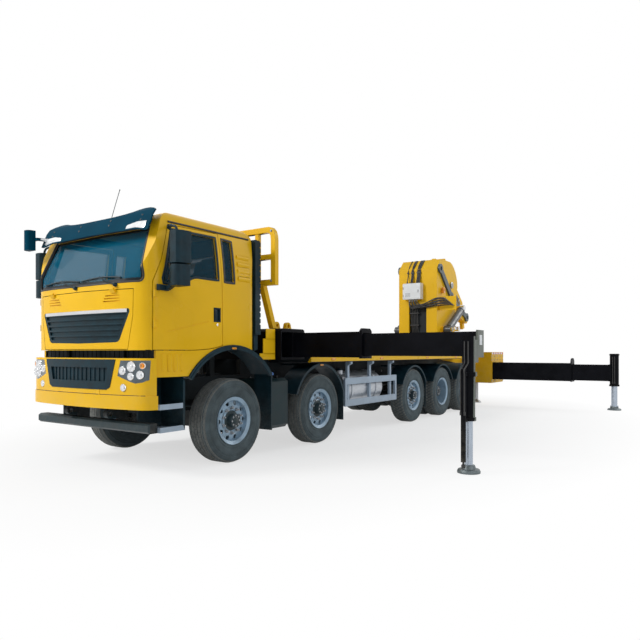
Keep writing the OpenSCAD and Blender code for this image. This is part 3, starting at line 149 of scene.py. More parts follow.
DUST = (0.40, 0.34, 0.24)
GRIME = (0.20, 0.18, 0.14)
M = {
    "yellow": surface("yellow_paint", (0.88, 0.510, 0.008), 0.36, dark=0.93, scale=1.4, coat=0.06, dust=(DUST, 1.3),
        spec=0.16),
    "yellow_worn": surface("yellow_worn", (0.82, 0.475, 0.010), 0.44, dark=0.86, scale=3.0, coat=0.03,
        dust=(DUST, 1.5), spec=0.16),
    "deck": surface("deck_boards", (0.16, 0.11, 0.065), 0.72, dark=0.55, scale=2.5, grain=90.0, depth=0.003,
        stretch=(1.0, 9.0, 1.0)),
    # Near-black plastic with a navy-teal tint in its colour; the tint is a painted reflection, standing in for the
    # bluish sheen on the dark parts.
    "black": surface("black_plastic", (0.008, 0.030, 0.043), 0.46, dark=0.6, scale=9.0, dust=(GRIME, 0.9), grain=180.0,
        spec=0.18),
    "black_steel": surface("black_paint", (0.0045, 0.0050, 0.0075), 0.42, dark=0.6, scale=5.0, dust=(GRIME, 0.7),
        spec=0.06),
    "grille": surface("grille_dark", (0.010, 0.036, 0.050), 0.42, dark=0.6, scale=9.0, grain=160.0, spec=0.15),
    "frame": surface("frame_paint", (0.014, 0.020, 0.024), 0.55, dark=0.6, scale=5.0, dust=(GRIME, 1.0), spec=0.25),
    "dark_paint": surface("dark_paint", (0.055, 0.06, 0.065), 0.42, dark=0.7, scale=7.0, coat=0.2),
    "link": surface("link_paint", (0.065, 0.092, 0.108), 0.42, scale=7.0, coat=0.15, spec=0.35),
    "rod_steel": surface("leg_rod_steel", (0.44, 0.50, 0.58), 0.30, metal=0.8, dark=0.85, scale=9.0,
        stretch=(6.0, 6.0, 1.0)),
    "pad_steel": surface("foot_pad_steel", (0.17, 0.20, 0.21), 0.48, metal=0.6, dark=0.6, scale=14.0),
    "visor": surface("visor_acrylic", (0.002, 0.050, 0.090), 0.38, dark=0.8, scale=2.0, spread=0.04, grain=12.0,
        depth=0.0003, spec=0.01),
    "tyre": surface("tyre_rubber", (0.098, 0.126, 0.136), 0.80, dark=0.55, scale=5.0, grain=220.0, depth=0.001,
        spec=0.25),
    "tread": surface("tread_rubber", (0.190, 0.195, 0.185), 0.85, dark=0.7, scale=11.0, grain=220.0, depth=0.001,
        spec=0.25),
    "rim": surface("rim_paint", (0.33, 0.47, 0.60), 0.36, metal=0.25, scale=10.0, dust=(GRIME, 0.9)),
    "nut": surface("nut_steel", (0.42, 0.43, 0.45), 0.36, metal=0.85, dark=0.7, scale=20.0),
    "steel": surface("worn_steel", (0.40, 0.41, 0.42), 0.40, metal=0.8, dark=0.7, scale=9.0),
    "chrome": surface("rod_chrome", (0.72, 0.73, 0.75), 0.12, metal=1.0, dark=0.92, scale=5.0, spread=0.05),
    "aluminium": surface("aluminium", (0.55, 0.58, 0.62), 0.38, metal=0.75, dark=0.8, scale=7.0,
        stretch=(1.0, 8.0, 8.0)),
    "interior": surface("interior_trim", (0.07, 0.07, 0.075), 0.75, dark=0.7, scale=9.0, grain=200.0),
    "fabric": surface("seat_fabric", (0.035, 0.038, 0.045), 0.9, dark=0.65, scale=40.0, grain=400.0, depth=0.002),
    "rubber": surface("seal_rubber", (0.012, 0.012, 0.013), 0.6, dark=0.7, scale=20.0, grain=150.0),
    "frit": surface("screen_print", (0.006, 0.010, 0.013), 0.34, dark=0.8, scale=25.0, spread=0.05, spec=0.15),
    "reservoir": surface("reservoir_paint", (0.007, 0.024, 0.029), 0.42, dark=0.7, scale=5.0, spec=0.25),
    "guard": surface("guard_paint", (0.36, 0.45, 0.55), 0.42, metal=0.15, dark=0.85, dust=(GRIME, 0.9)),
    "blue": surface("cap_blue", (0.10, 0.24, 0.62), 0.40, dark=0.8, scale=14.0),
    "end_plate": surface("end_plate_paint", (0.105, 0.125, 0.100), 0.45),
    "hose": surface("hose_rubber", (0.032, 0.031, 0.031), 0.50, dark=0.6, scale=14.0, grain=260.0),
    "white": surface("white_cover", (0.82, 0.84, 0.85), 0.45, dark=0.9, scale=4.0),
    "glass": glass_material("cab_glass", (0.006, 0.140, 0.240), 0.42, 0.14),
    # The side panes take a darker copy of the cab glass: painted shade, for the side of the cab that lies in shade.
    "shaded_side_glass": glass_material("shaded_side_glass", (0.002, 0.040, 0.066), 0.55, 0.12),
    "bar": surface("bar_paint", (0.020, 0.042, 0.052), 0.45, dark=0.7, dust=(GRIME, 0.8), spec=0.3),
    "lens": surface("lamp_housing", (0.085, 0.115, 0.135), 0.16, metal=0.7, dark=0.6, scale=10.0, coat=0.9,
        spread=0.05),
    "reflector": surface("lamp_reflector", (0.80, 0.81, 0.83), 0.10, metal=1.0, dark=0.85, scale=30.0, spread=0.04),
    "bulb": surface("lamp_glass", (0.86, 0.87, 0.88), 0.12, dark=0.92, scale=25.0, coat=0.8, spread=0.05),
    "amber": surface("amber_lens", (0.95, 0.36, 0.025), 0.22, dark=0.8, scale=12.0, coat=0.5),
    "red": surface("red_marking", (0.60, 0.025, 0.022), 0.35, dark=0.85, scale=12.0, coat=0.3),
    "mirror": surface("mirror_glass", (0.75, 0.78, 0.80), 0.04, metal=1.0, dark=0.95, scale=3.0, spread=0.02),
}

NODE_MATERIAL = {
    "drivetrain": "frame", "side_guards": "guard", "cab_interior": "interior", "lamps": "lens", "grille": "grille",
    "lift_barrels": "dark_paint", "fold_barrel": "dark_paint", "lift_rods": "chrome", "fold_rod": "chrome",
    "rear_jacks": "steel", "rear_outrigger_box": "yellow_worn",
}
KIND_MATERIAL = {"glass": "shaded_side_glass", "mirror": "black", "knuckle": "frame", "beam": "black_steel",
                 "arm": "black_steel"}


def material_of(name):
    if name in NODE_MATERIAL:
        return NODE_MATERIAL[name]
    return next((value for key, value in KIND_MATERIAL.items() if key in name), "yellow")


# What a face of a node is made of, from its middle and its normal, as a place in the node's list of materials
TYRE_MIN_R, HUB_R = 0.307, 0.128
AXLE_1 = JOINTS["wheel_spin_1_left"]["pos_m"][0]
# Middle of the beam and of the leg on each side
FRONT_BEAM_X, FRONT_LEG_X, REAR_LEG_X = {1: 3.41, -1: 3.68}, {1: 3.68, -1: 3.41}, {1: -5.45, -1: -5.99}


def wheel_part(axis):
    def part(c, n):
        r = hypot(c.x - axis.x, c.z - axis.z)
        return 0 if r > TYRE_MIN_R else 1 if r > HUB_R else 2

    return part


def arm_part(beam_x):
    return lambda c, n: abs(c.y) > 3.9085 and abs(c.x - beam_x) < 0.3


def column_part(c, n):
    """The box on the front, the links on the sides and the hose bracket on one of them."""
    if c.x > -3.2699:
        return 2
    if abs(c.y) > 0.5201 and c.z > 2.6 and not (c.x > -3.38 and c.z < 2.80):
        return 3 if c.x > -3.65 and c.z < 3.06 else 1
    return 0


def door_part(c, n):
    """Painted outside, with a dark handle recess, and trimmed inside."""
    if 0.224 < c.x - AXLE_1 < 0.351 and 1.784 < c.z < 1.966 and abs(c.y) < 1.149:
        return 1 if n.y * c.y > -0.2 else 2
    return 2 if n.y * c.y < -0.3 else 0


def cab_part(c, n):
    """Painted outside, trimmed on every face that looks in, and dark in the trim colour on faces that look down low on
    the cab, as painted shade.
    """
    inner_or_shaded_below = n.y * c.y < -0.3 or (n.z < -0.5 and c.z < 2.6)
    return inner_or_shaded_below or (n.x < -0.5 and c.x > AXLE_1 + 1.0) or (n.x > 0.5 and c.x < AXLE_1 - 0.2)


def deck_part(c, n):
    if n.z > 0.9 and c.z > 1.34:
        return 1
    # Faces that look down, and the low middle under the deck, take the dark frame paint as painted shade under the
    # deck.
    return 2 if n.z < -0.5 or (c.z < 1.304 and abs(c.y) < 1.20) else 0


SPLIT = {
    "cab_trim": (("black", "visor"), lambda c, n: c.z > 2.70 and c.x > 5.5),
    "crane_column": (("yellow", "link", "white", "amber"), column_part),
    "inner_boom": (("yellow", "link"), lambda c, n: abs(c.y) > 0.3001 and c.x < -4.85),
    # The windscreen keeps the lit cab glass; the side panes get the darker copy, which is painted shade.
    "cab_glass": (("shaded_side_glass", "glass"), lambda c, n: c.x > AXLE_1 + 0.6),
    "chassis_frame": (("frame", "bar"), lambda c, n: c.x > AXLE_1 + 1.25 and c.z < 0.66),
    "fenders": (("black", "guard"), lambda c, n: c.x > AXLE_1 + 0.84 and c.z < 0.90 and abs(c.y) > 0.755),
    "door_left": (("yellow", "black", "interior"), door_part),
    "door_right": (("yellow", "black", "interior"), door_part),
    "load_deck": (("yellow", "deck", "frame"), deck_part),
    "cab_shell": (("yellow", "interior"), cab_part),
    # The crane base below the deck, ahead of x -2.9 m, takes the dark frame paint as painted shade under the deck.
    "crane_base": (("yellow_worn", "frame"), lambda c, n: c.z < 1.30 and c.x > -2.9),
    "tanks": (("aluminium", "reservoir"), lambda c, n: c.x > 3.0),
    "front_arm_left": (("black_steel", "end_plate"), arm_part(FRONT_BEAM_X[1])),
    "front_arm_right": (("black_steel", "end_plate"), arm_part(FRONT_BEAM_X[-1])),
    "front_outrigger_box": (("black_steel", "yellow"), lambda c, n: c.z > 1.7501),
}
for name, obj in NODES.items():
    if name.startswith("wheel"):
        SPLIT[name] = (("tyre", "rim", "bar"), wheel_part(Vector(JOINTS["wheel_spin_" + name[6:]]["pos_m"])))
    if "_foot_" in name:
        SPLIT[name] = (("rod_steel", "pad_steel"), lambda c, n: c.z < 0.097)
    keys, choose = SPLIT.get(name, ((material_of(name),), None))
    obj.data.materials.clear()
    for key in keys:
        obj.data.materials.append(M[key])
    if choose:
        for poly in obj.data.polygons:
            poly.material_index = int(choose(poly.center, poly.normal))


def edge_softener():
    """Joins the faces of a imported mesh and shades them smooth, apart from its sharp edges."""
    group = bpy.data.node_groups.new("joined_faces", "GeometryNodeTree")
    group.interface.new_socket("Geometry", in_out="INPUT", socket_type="NodeSocketGeometry")
    group.interface.new_socket("Geometry", in_out="OUTPUT", socket_type="NodeSocketGeometry")
    sharp = add(group, "ShaderNodeMath", operation="GREATER_THAN")
    sharp.inputs[1].default_value = radians(28)
    group.links.new(add(group, "GeometryNodeInputMeshEdgeAngle").outputs[0], sharp.inputs[0])
    last = add(group, "NodeGroupInput").outputs[0]
    for kind, values in (
            ("RemoveAttribute", {"Name": "custom_normal"}), ("MergeByDistance", {"Distance": 0.00005}),
            ("SetShadeSmooth", {}),
            ("SetShadeSmooth", {"domain": "EDGE", "Shade Smooth": False, "Selection": sharp.outputs[0]})):
        last = add(group, "GeometryNode" + kind, Geometry=last, **values).outputs["Geometry"]
    group.links.new(last, add(group, "NodeGroupOutput").inputs[0])
    return group


JOINED = edge_softener()
# Width of the bevel on each node's edges
BEVELS = {0.004: "cab_trim side_guards chassis_frame fenders",
          0.005: "door_left door_right front_flap load_deck boom_stage_1 boom_stage_2",
          0.006: "cab_shell bumper headboard front_outrigger_box rear_outrigger_box crane_base crane_column inner_boom "
                 "outer_boom tanks",
          0.012: "mirror_left mirror_right"}
BEVEL_OF = {name: width for width, names in BEVELS.items() for name in names.split()}
for name, obj in NODES.items():
    obj.modifiers.new("joined", "NODES").node_group = JOINED
    wide = BEVEL_OF.get(name) or (0.006 if "beam" in name or "arm" in name else None)
    if wide:
        edge = obj.modifiers.new("edges", "BEVEL")
        edge.width = wide
        edge.segments = 2
        edge.limit_method = "ANGLE"
        edge.angle_limit = radians(40)
        edge.harden_normals = True


# Camera
VIEW_TURN = radians(34.37)
camera = put("camera", bpy.data.cameras.new("camera"))
camera.data.lens = 32.92
camera.data.sensor_width = 36.0
camera.data.shift_y = 0.0497
camera.data.clip_end = 200.0
camera.location = (AXLE_1 + 5.577, 6.317, 1.417)
camera.rotation_euler = (pi / 2, 0.0, atan2(-sin(VIEW_TURN), -cos(VIEW_TURN)) - pi / 2)
scene.camera = camera


# Mesh building
SKIN = {}


def hit(nodes, origin, direction):
    """The first point of these nodes' surfaces on a ray, with its normal turned towards the ray's start."""
    origin, direction = Vector(origin), Vector(direction).normalized()
    best = None
    for name in nodes.split():
        if name not in SKIN:
            mesh = NODES[name].data
            SKIN[name] = BVHTree.FromPolygons([v.co for v in mesh.vertices], [tuple(p.vertices) for p in mesh.polygons])
        place, normal, _, far = SKIN[name].ray_cast(origin, direction)
        if place is not None and (best is None or far < best[2]):
            best = (place, normal if normal.dot(direction) < 0 else -normal, far)
    return best and best[:2]


def trace(nodes, starts, direction):
    """Where rays from these starts meet the nodes, and the normals there."""
    found = [f for f in (hit(nodes, start, direction) for start in starts) if f]
    return [f[0] for f in found], [f[1] for f in found]


def steps(count):
    """Even steps from 0 to 1."""
    return [i / (count - 1) for i in range(count)]


def turns(count, start=0.0):
    """Even angles round a circle."""
    return [2 * pi * (i + start) / count for i in range(count)]


def lathe(bm, base, axis, profile, seg=16, index=0):
    """A turned form: the profile's points are (radius, height along the axis); radius 0 closes an end."""
    axis = Vector(axis).normalized()
    side = axis.orthogonal().normalized()
    other = axis.cross(side)
    rings = []
    for r, h in profile:
        at = Vector(base) + axis * h
        if r < 1e-6:
            rings.append([bm.verts.new(at)])
        else:
            rings.append([bm.verts.new(at + (side * cos(t) + other * sin(t)) * r) for t in turns(seg)])
    for a, b in zip(rings, rings[1:]):
        for i in range(seg):
            corners = [a[i % len(a)], a[(i + 1) % len(a)], b[(i + 1) % len(b)], b[i % len(b)]]
            corners = [v for k, v in enumerate(corners) if v not in corners[:k]]
            bm.faces.new(corners).material_index = index


def disc(r, low, high, *top):
    """The profile of a round plate or bar, closed across the last of the points that shape its top."""
    return [(0, low), (r, low), (r, high), *top, (0, top[-1][1] if top else high)]


def skin(bm, rings, index, closed=False):
    """Faces from ring to ring, with both ends filled where the rings don't close up."""
    for a, b in zip(rings, rings[1:] + rings[:1] if closed else rings[1:]):
        for k in range(len(a)):
            n = (k + 1) % len(a)
            bm.faces.new((a[k], a[n], b[n], b[k])).material_index = index
    for ring in () if closed else (rings[0], rings[-1]):
        bm.faces.new(ring).material_index = index


def sweep(bm, path, section, normals=None, closed=False, index=0):
    """A section of (across, out) points carried along a path; normals give the out direction."""
    count = len(path)
    rings = []
    out = Vector(UP)
    for i, at in enumerate(path):
        ahead = path[(i + 1) % count] if closed or i + 1 < count else at
        behind = path[i - 1] if closed or i > 0 else at
        along = (ahead - behind).normalized()
        if normals:
            out = normals[i]
        elif i == 0:
            out = along.orthogonal()
        out = (out - along * out.dot(along)).normalized()
        across = along.cross(out)
        rings.append([bm.verts.new(at + across * a + out * b) for a, b in section])
    skin(bm, rings, index, closed)


def tube(r, sides=8):
    return [(r * cos(t), r * sin(t)) for t in turns(sides)]


def even(*half):
    """A section from its right half, given from the bottom up."""
    return [(-half[0][0], half[0][1]), *half] + [(-a, b) for a, b in half[:0:-1]]


def strip(width, low, high):
    """A flat strip with soft upper edges."""
    w, e = width / 2, min(0.25 * width, 0.5 * (high - low))
    return even((w, low), (w, high - e), (w - e, high))


CORNERS = ((-1, -1), (1, -1), (1, 1), (-1, 1))


def block(bm, one, other, index=0, cut=0.15):
    """A box between two corners with its edges cut back, like a moulded or welded part."""
    low, high = Vector([min(p) for p in zip(one, other)]), Vector([max(p) for p in zip(one, other)])
    mid, half = (low + high) / 2, (high - low) / 2
    c = cut * min(half)
    rings = []
    for z, inset in ((-half.z, c), (-half.z + c, 0), (half.z - c, 0), (half.z, c)):
        ring = []
        for sx, sy in CORNERS:
            a = mid + Vector((sx * (half.x - inset), sy * (half.y - inset - c), z))
            b = mid + Vector((sx * (half.x - inset - c), sy * (half.y - inset), z))
            ring += [a, b] if sx * sy > 0 else [b, a]
        rings.append([bm.verts.new(p) for p in ring])
    skin(bm, rings, index)


def sheet(bm, grid):
    """Faces over a grid of points."""
    for a, b in zip(grid, grid[1:]):
        for k in range(len(a) - 1):
            bm.faces.new((a[k], b[k], b[k + 1], a[k + 1]))


def smooth(points, step=0.03):
    """A soft curve through the points, at even steps."""
    points = [Vector(p) for p in points]
    out = []
    for i in range(len(points) - 1):
        p0, p1, p2, p3 = points[max(i - 1, 0)], points[i], points[i + 1], points[min(i + 2, len(points) - 1)]
        n = max(2, int((p2 - p1).length / step))
        for k in range(n):
            t = k / n
            out.append(0.5 * (2 * p1 + (p2 - p0) * t + (2 * p0 - 5 * p1 + 4 * p2 - p3) * t * t
                              + (3 * p1 - 3 * p2 + p3 - p0) * t ** 3))
    out.append(points[-1])
    return out


def pipe(bm, points, r=0.011, sides=10):
    sweep(bm, smooth(points, 0.05), tube(r, sides))


def bezier(a, b, c, d, n):
    spots = []
    for i in range(1, n + 1):
        t = i / n
        u = 1 - t
        spots.append(tuple(u ** 3 * a[k] + 3 * u * u * t * b[k] + 3 * u * t * t * c[k] + t ** 3 * d[k] for k in (0, 1)))
    return spots


def grown(loop, d, step=45.0):
    """A closed outline pushed out by d and cut into short steps, in mm."""
    area = sum(a[0] * b[1] - b[0] * a[1] for a, b in zip(loop, loop[1:] + loop[:1]))
    turn = 1 if area > 0 else -1
    moved = []
    for i in range(len(loop)):
        a, b, c = Vector(loop[i - 1]), Vector(loop[i]), Vector(loop[(i + 1) % len(loop)])
        e, f = (b - a).normalized(), (c - b).normalized()
        m = Vector((e.y + f.y, -e.x - f.x)) * turn
        m.normalize()
        moved.append(b + m * (d / max(0.5, m.dot(Vector((e.y, -e.x)) * turn))))
    out = []
    for a, b in zip(moved, moved[1:] + moved[:1]):
        k = max(1, int((b - a).length / step))
        out += [a + (b - a) * i / k for i in range(k)]
    return out


def piece(name, bm, *keys, body="chassis", sharp=35.0):
    """Makes an object of a built mesh, in these materials, that rides on a body."""
    bmesh.ops.recalc_face_normals(bm, faces=bm.faces)
    mesh = bpy.data.meshes.new(name)
    bm.to_mesh(mesh)
    bm.free()
    for key in keys:
        mesh.materials.append(M[key])
    mesh.shade_smooth()
    mesh.set_sharp_from_angle(angle=radians(sharp))
    obj = put(name, mesh)
    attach(obj, body)
    return obj


def bolt(bm, place, out, r):
    """A washer with a six-sided head on it."""
    sunk = 0.002
    start = Vector(place) - Vector(out) * sunk
    lathe(bm, start, out, disc(r * 1.5, 0, sunk + r * 0.3), 12)
    lathe(bm, start, out, disc(r, 0, sunk + r * 0.9, (r * 0.8, sunk + r * 1.1)), 6)


def bolts(name, body, node, starts, direction, r, key="steel"):
    bm = bmesh.new()
    for place, out in zip(*trace(node, starts, direction)):
        bolt(bm, place, out, r)
    piece(name, bm, key, body=body)


CAB_Z = 1.13


def in_cab(x, y, z):
    """A place in the cab, from mm along, across and up from axle 1 and the cab's floor line."""
    return Vector((AXLE_1 + x / 1000, y / 1000, CAB_Z + z / 1000))


# Tyre tread, sidewall ribs and wheel nuts
TYRE_R, TYRE_W, TWIN_GAP, FACE_Y, SHOULDER_Y = 0.535, 0.300, 0.046, 1.180, 0.102
LUGS, LUG_SUNK, LUG_H, LUG_LEAN = 52, 0.004, 0.0045, 0.014
LUG_ROWS = ((-0.136, -0.088), (-0.076, -0.030), (-0.020, 0.020), (0.030, 0.076), (0.088, 0.136))
LUG_FACES = ((1, 3, 7, 5), (0, 1, 5, 4), (2, 6, 7, 3), (0, 2, 3, 1), (4, 5, 7, 6))
RIBS = ((0.468, 0.008), (0.440, 0.004), (0.345, 0.007))


def tread(bm, axis, side, mid, share):
    """Rows of lugs round a tyre; a lug fills this share of its pitch."""
    for row, edges in enumerate(LUG_ROWS):
        lean = LUG_LEAN * (row - 2)
        for start in turns(LUGS, 0.5 * (row % 2)):
            v = []
            for y, skew in zip(edges, (-lean, lean)):
                top = TYRE_R - 0.52 * max(0.0, abs(y) - SHOULDER_Y)
                for a in (start + skew, start + 2 * pi * share / LUGS + skew):
                    for r in (top - LUG_SUNK, top + LUG_H):
                        v.append(bm.verts.new((axis.x + r * cos(a), side * (mid + y), axis.z + r * sin(a))))
            for face in LUG_FACES:
                bm.faces.new([v[k] for k in face]).material_index = 1


def sidewall_ribs(bm, name, axis, side, mid):
    for face in (-1, 1):
        for r, w in RIBS:
            found = hit(name, (axis.x, side * (mid + face * TYRE_W), axis.z + r), (0, -side * face, 0))
            if found and abs(found[0].y - side * (mid + face * TYRE_W / 2)) < 0.03:
                y, up = found[0].y - axis.y, 0.004 * side * face
                profile = [(r + w * a, y + up * b) for a, b in ((-1, -0.4), (-0.5, 1), (0.5, 1), (1, -0.4))]
                lathe(bm, axis, (0, 1, 0), profile, 72)


for name in [n for n in NODES if n.startswith("wheel")]:
    axis = Vector(JOINTS["wheel_spin_" + name[6:]]["pos_m"])
    side = 1 if "left" in name else -1
    out = OUT[side]
    twin = name[6] in "45"
    bm = bmesh.new()
    for mid in (FACE_Y - TYRE_W / 2, FACE_Y - 1.5 * TYRE_W - TWIN_GAP)[:2 if twin else 1]:
        tread(bm, axis, side, mid, 0.92 if name[6] in "12" else 0.68)
        sidewall_ribs(bm, name, axis, side, mid)
    piece(name + "_tread", bm, "tyre", "tread", sharp=30, body=name)

    def on_face(r, angles):
        return trace(name, [(axis.x + r * cos(a), side * 1.6, axis.z + r * sin(a)) for a in angles], -out)[0]

    bm = bmesh.new()
    for place in on_face(0.152 if twin else 0.164, turns(10, 0.5)):
        lathe(bm, place - out * 0.004, out, disc(0.024, 0, 0.007), 14)
        lathe(bm, place - out * 0.004, out, disc(0.0185, 0, 0.030, (0.015, 0.034)), 6)
        lathe(bm, place, out, disc(0.010, 0.02, 0.048, (0.008, 0.05)), 10)
    for place in on_face(0.066, turns(8)):
        bolt(bm, place, out, 0.008)
    lathe(bm, on_face(0.0, [0.0])[0], out,
          [(0, -0.003), (0.045, -0.003), (0.045, 0.004), (0.036, 0.010), (0, 0.012)], 24, 1)
    piece(name + "_nuts", bm, "nut", "bar", body=name)

# Openings in the cab, in mm
DOOR_WINDOW = ([(270, 1190), (620, 1190)] + bezier((620, 1190), (760, 1180), (800, 1085), (930, 1075), 8)
               + [(1120, 1075), (1128, 1120), (968, 1690), (270, 1705)])
QUARTER = [(-20, 1180), (140, 1180), (140, 1705), (-20, 1698)]
SCREEN_TOP = 1725
SCREEN_HALF = ([(0, 1085), (975, 1085)] + bezier((975, 1085), (1015, 1085), (1015, 1130), (1010, 1180), 6)
               + [(915, 1710), (0, SCREEN_TOP)])
SCREEN = SCREEN_HALF + [(-y, z) for y, z in SCREEN_HALF[-2:0:-1]]
REAR = [(-600, 1220), (600, 1220), (600, 1630), (-600, 1630)]
SEAL = strip(0.030, -0.004, 0.007)
# Starts of rays towards the cab from its front, its back and its sides
AHEAD, BEHIND, BESIDE = 2200, -1200, 1500


def seal(bm, spots, node, direction, section):
    """A closed strip round an opening, which faces the rays where the surface turns away from them."""
    away = -Vector(direction)
    path, normals = trace(node, spots, direction)
    sweep(bm, path, section, [away if abs(n.dot(away)) < 0.5 else n for n in normals], True)


# Window seals, door handles, mirror feet, locks and mirror glass
PULL = ([(322, 1138, 672), (322, 1154, 690), (322, 1160, 745), (322, 1154, 800), (322, 1138, 818)], 0.012,
        even((0.015, -0.006), (0.015, 0.003), (0.010, 0.007)))
MIRROR_FOOT = ([(1070, 1146, 1008), (1100, 1156, 1008), (1190, 1150, 1010), (1222, 1135, 1010)], 0.015,
               even((0.030, -0.012), (0.034, 0.0), (0.026, 0.014)))
for word, side in SIDES:
    door, out = "door_" + word, OUT[side]
    bm = bmesh.new()
    seal(bm, [in_cab(x, side * 1400, z) for x, z in grown(DOOR_WINDOW, 13)], door, -out, SEAL)
    for z0, z1, x0, x1 in ((658, 676, 228, 347), (814, 832, 228, 347), (676, 814, 228, 246), (676, 814, 329, 347)):
        block(bm, in_cab(x0, side * 1136, z0), in_cab(x1, side * 1154, z1), 0, 0.4)
    for spots, step, section in (PULL, MIRROR_FOOT):
        path = smooth([in_cab(x, side * y, z) for x, y, z in spots], step)
        sweep(bm, path, section, [out] * len(path))
    piece("door_trim_" + word, bm, "black", body=door)
    bm = bmesh.new()
    lathe(bm, hit(door, in_cab(285, side * 1400, 622), -out)[0], out,
          disc(0.016, -0.002, 0.004, (0.012, 0.006), (0.012, 0.003)), 20)
    piece("door_lock_" + word, bm, "chrome", body=door)
    bm = bmesh.new()
    for z0, z1, y0, y1, x in ((1292, 1608, 1264, 1431, 1000), (1040, 1235, 1268, 1428, 1010)):
        sheet(bm, [[bm.verts.new(in_cab(x + 6 - 5 * (1 - (2 * s - 1) ** 2) * (1 - (2 * t - 1) ** 2),
                                        side * (y0 + (y1 - y0) * s), z0 + (z1 - z0) * t)) for t in steps(9)]
                   for s in steps(9)])
    piece("mirror_glass_" + word, bm, "mirror", body=door)

# Seals of the fixed panes with the gutters over the doors, and the dark border printed on the windscreen
bm = bmesh.new()
for side in (1, -1):
    seal(bm, [in_cab(x, side * 1400, z) for x, z in grown(QUARTER, 13)], "cab_shell", (0, -side, 0), SEAL)
    path, normals = trace("cab_shell", [in_cab(-380 + 1390 * t, side * BESIDE, 1792 - 6 * t) for t in steps(30)],
                          (0, -side, 0))
    sweep(bm, path, strip(0.022, -0.004, 0.014), normals)
seal(bm, [in_cab(AHEAD, y, z) for y, z in grown(SCREEN, 9)], "cab_shell", BACK,
     strip(0.022, -0.004, 0.005))
seal(bm, [in_cab(BEHIND, y, z) for y, z in grown(REAR, 14)], "cab_shell", (1, 0, 0), SEAL)
piece("window_seals", bm, "rubber")
bm = bmesh.new()
seal(bm, [in_cab(AHEAD, y, z) for y, z in grown(SCREEN, -18)], "cab_glass", BACK,
     strip(0.036, 0.0006, 0.0022))
piece("windscreen_border", bm, "frit")

# Wipers, parked along the foot of the windscreen
BLADE = even((0.004, -0.010), (0.011, 0.006), (0.006, 0.016))
bm = bmesh.new()
for start, end, pivot in ((690, -60, 640), (-110, -820, -120)):
    places, normals = trace("cab_glass", [in_cab(AHEAD, start + (end - start) * t, 1128 + 26 * sin(pi * t))
                                          for t in steps(22)], BACK)
    blade = [p + n * 0.010 for p, n in zip(places, normals)]
    sweep(bm, blade, BLADE, normals)
    foot, out = hit("cab_shell", in_cab(AHEAD, pivot, 1052), BACK)
    lathe(bm, foot, out, [(0, -0.004), (0.026, -0.004), (0.024, 0.022), (0.016, 0.034), (0, 0.036)], 20)
    mid = blade[11] + normals[11] * 0.022
    arm = smooth([foot + out * 0.026, foot + out * 0.034 + (mid - foot) * 0.3,
                       foot + (mid - foot) * 0.75 + out * 0.030, mid], 0.02)
    sweep(bm, arm, strip(0.018, -0.004, 0.006), [out] * len(arm))
piece("wipers", bm, "black")

# Headlamp bowls and fog lamps: place, radius and the material of the middle
LAMPS = ((0.790, 1.205, 0.046, 1), (0.918, 1.252, 0.056, 1), (1.062, 1.262, 0.036, 2), (0.912, 1.142, 0.042, 1),
         (1.036, 1.160, 0.046, 1), (0.805, 1.015, 0.040, 1))
bm = bmesh.new()
for side in (1, -1):
    for y, z, r, colour in LAMPS:
        place, out = hit("lamps cab_trim bumper", (6.8, side * y, z), BACK)
        out = (out + Vector((1, 0, 0)) * 0.6).normalized()
        lathe(bm, place, out, [(r * 0.86, 0.002), (r * 0.90, 0.011), (r * 1.0, 0.012), (r * 1.08, 0.006),
                               (r * 1.10, -0.002)], 36)
        lathe(bm, place, out, [(0, 0.0015), (r * 0.5, 0.0025), (r * 0.88, 0.008)], 36, 0 if colour == 1 else 2)
        lathe(bm, place, out, [(0, 0.012), (r * 0.25, 0.0118), (r * 0.32, 0.006), (r * 0.34, 0.002)], 24, colour)
piece("lamp_bowls", bm, "reflector", "bulb", "amber")

# Marker lenses on the deck's edge and on the wheel arches
bm = bmesh.new()
for side in (1, -1):
    for x in (2.55, 0.95, -1.05, -2.65):
        block(bm, (x - 0.055, side * 1.247, 1.286), (x + 0.055, side * 1.262, 1.316), 0, 0.5)
    for x, z in ((AXLE_1 + 0.01, 1.4605), (AXLE_1 - 1.95, 1.2130)):
        for place in trace("fenders cab_shell", [(x, side * 1.6, z)], (0, -side, 0))[0]:
            block(bm, (x - 0.040, place.y - side * 0.004, place.z - 0.012),
                  (x + 0.040, place.y + side * 0.012, place.z + 0.012), 0, 0.5)
piece("side_markers", bm, "amber")

# Lamps in the sun visor
bm = bmesh.new()
for side in (1, -1):
    grid = []
    for i, s in enumerate(steps(11)):
        y = 650 + 350 * s
        low = 1702 - 34 * max(0.0, (y - 830) / 170)
        row = []
        for k, t in enumerate(steps(6)):
            place, out = hit("cab_trim", in_cab(2400, side * y, low + (48 + 52 * s) * t), BACK)
            edge = 0.0 if i in (0, 10) or k in (0, 5) else 0.009
            row.append(bm.verts.new(place + out * (edge - 0.001)))
        grid.append(row)
    sheet(bm, grid)
piece("visor_lamps", bm, "bulb", sharp=60)

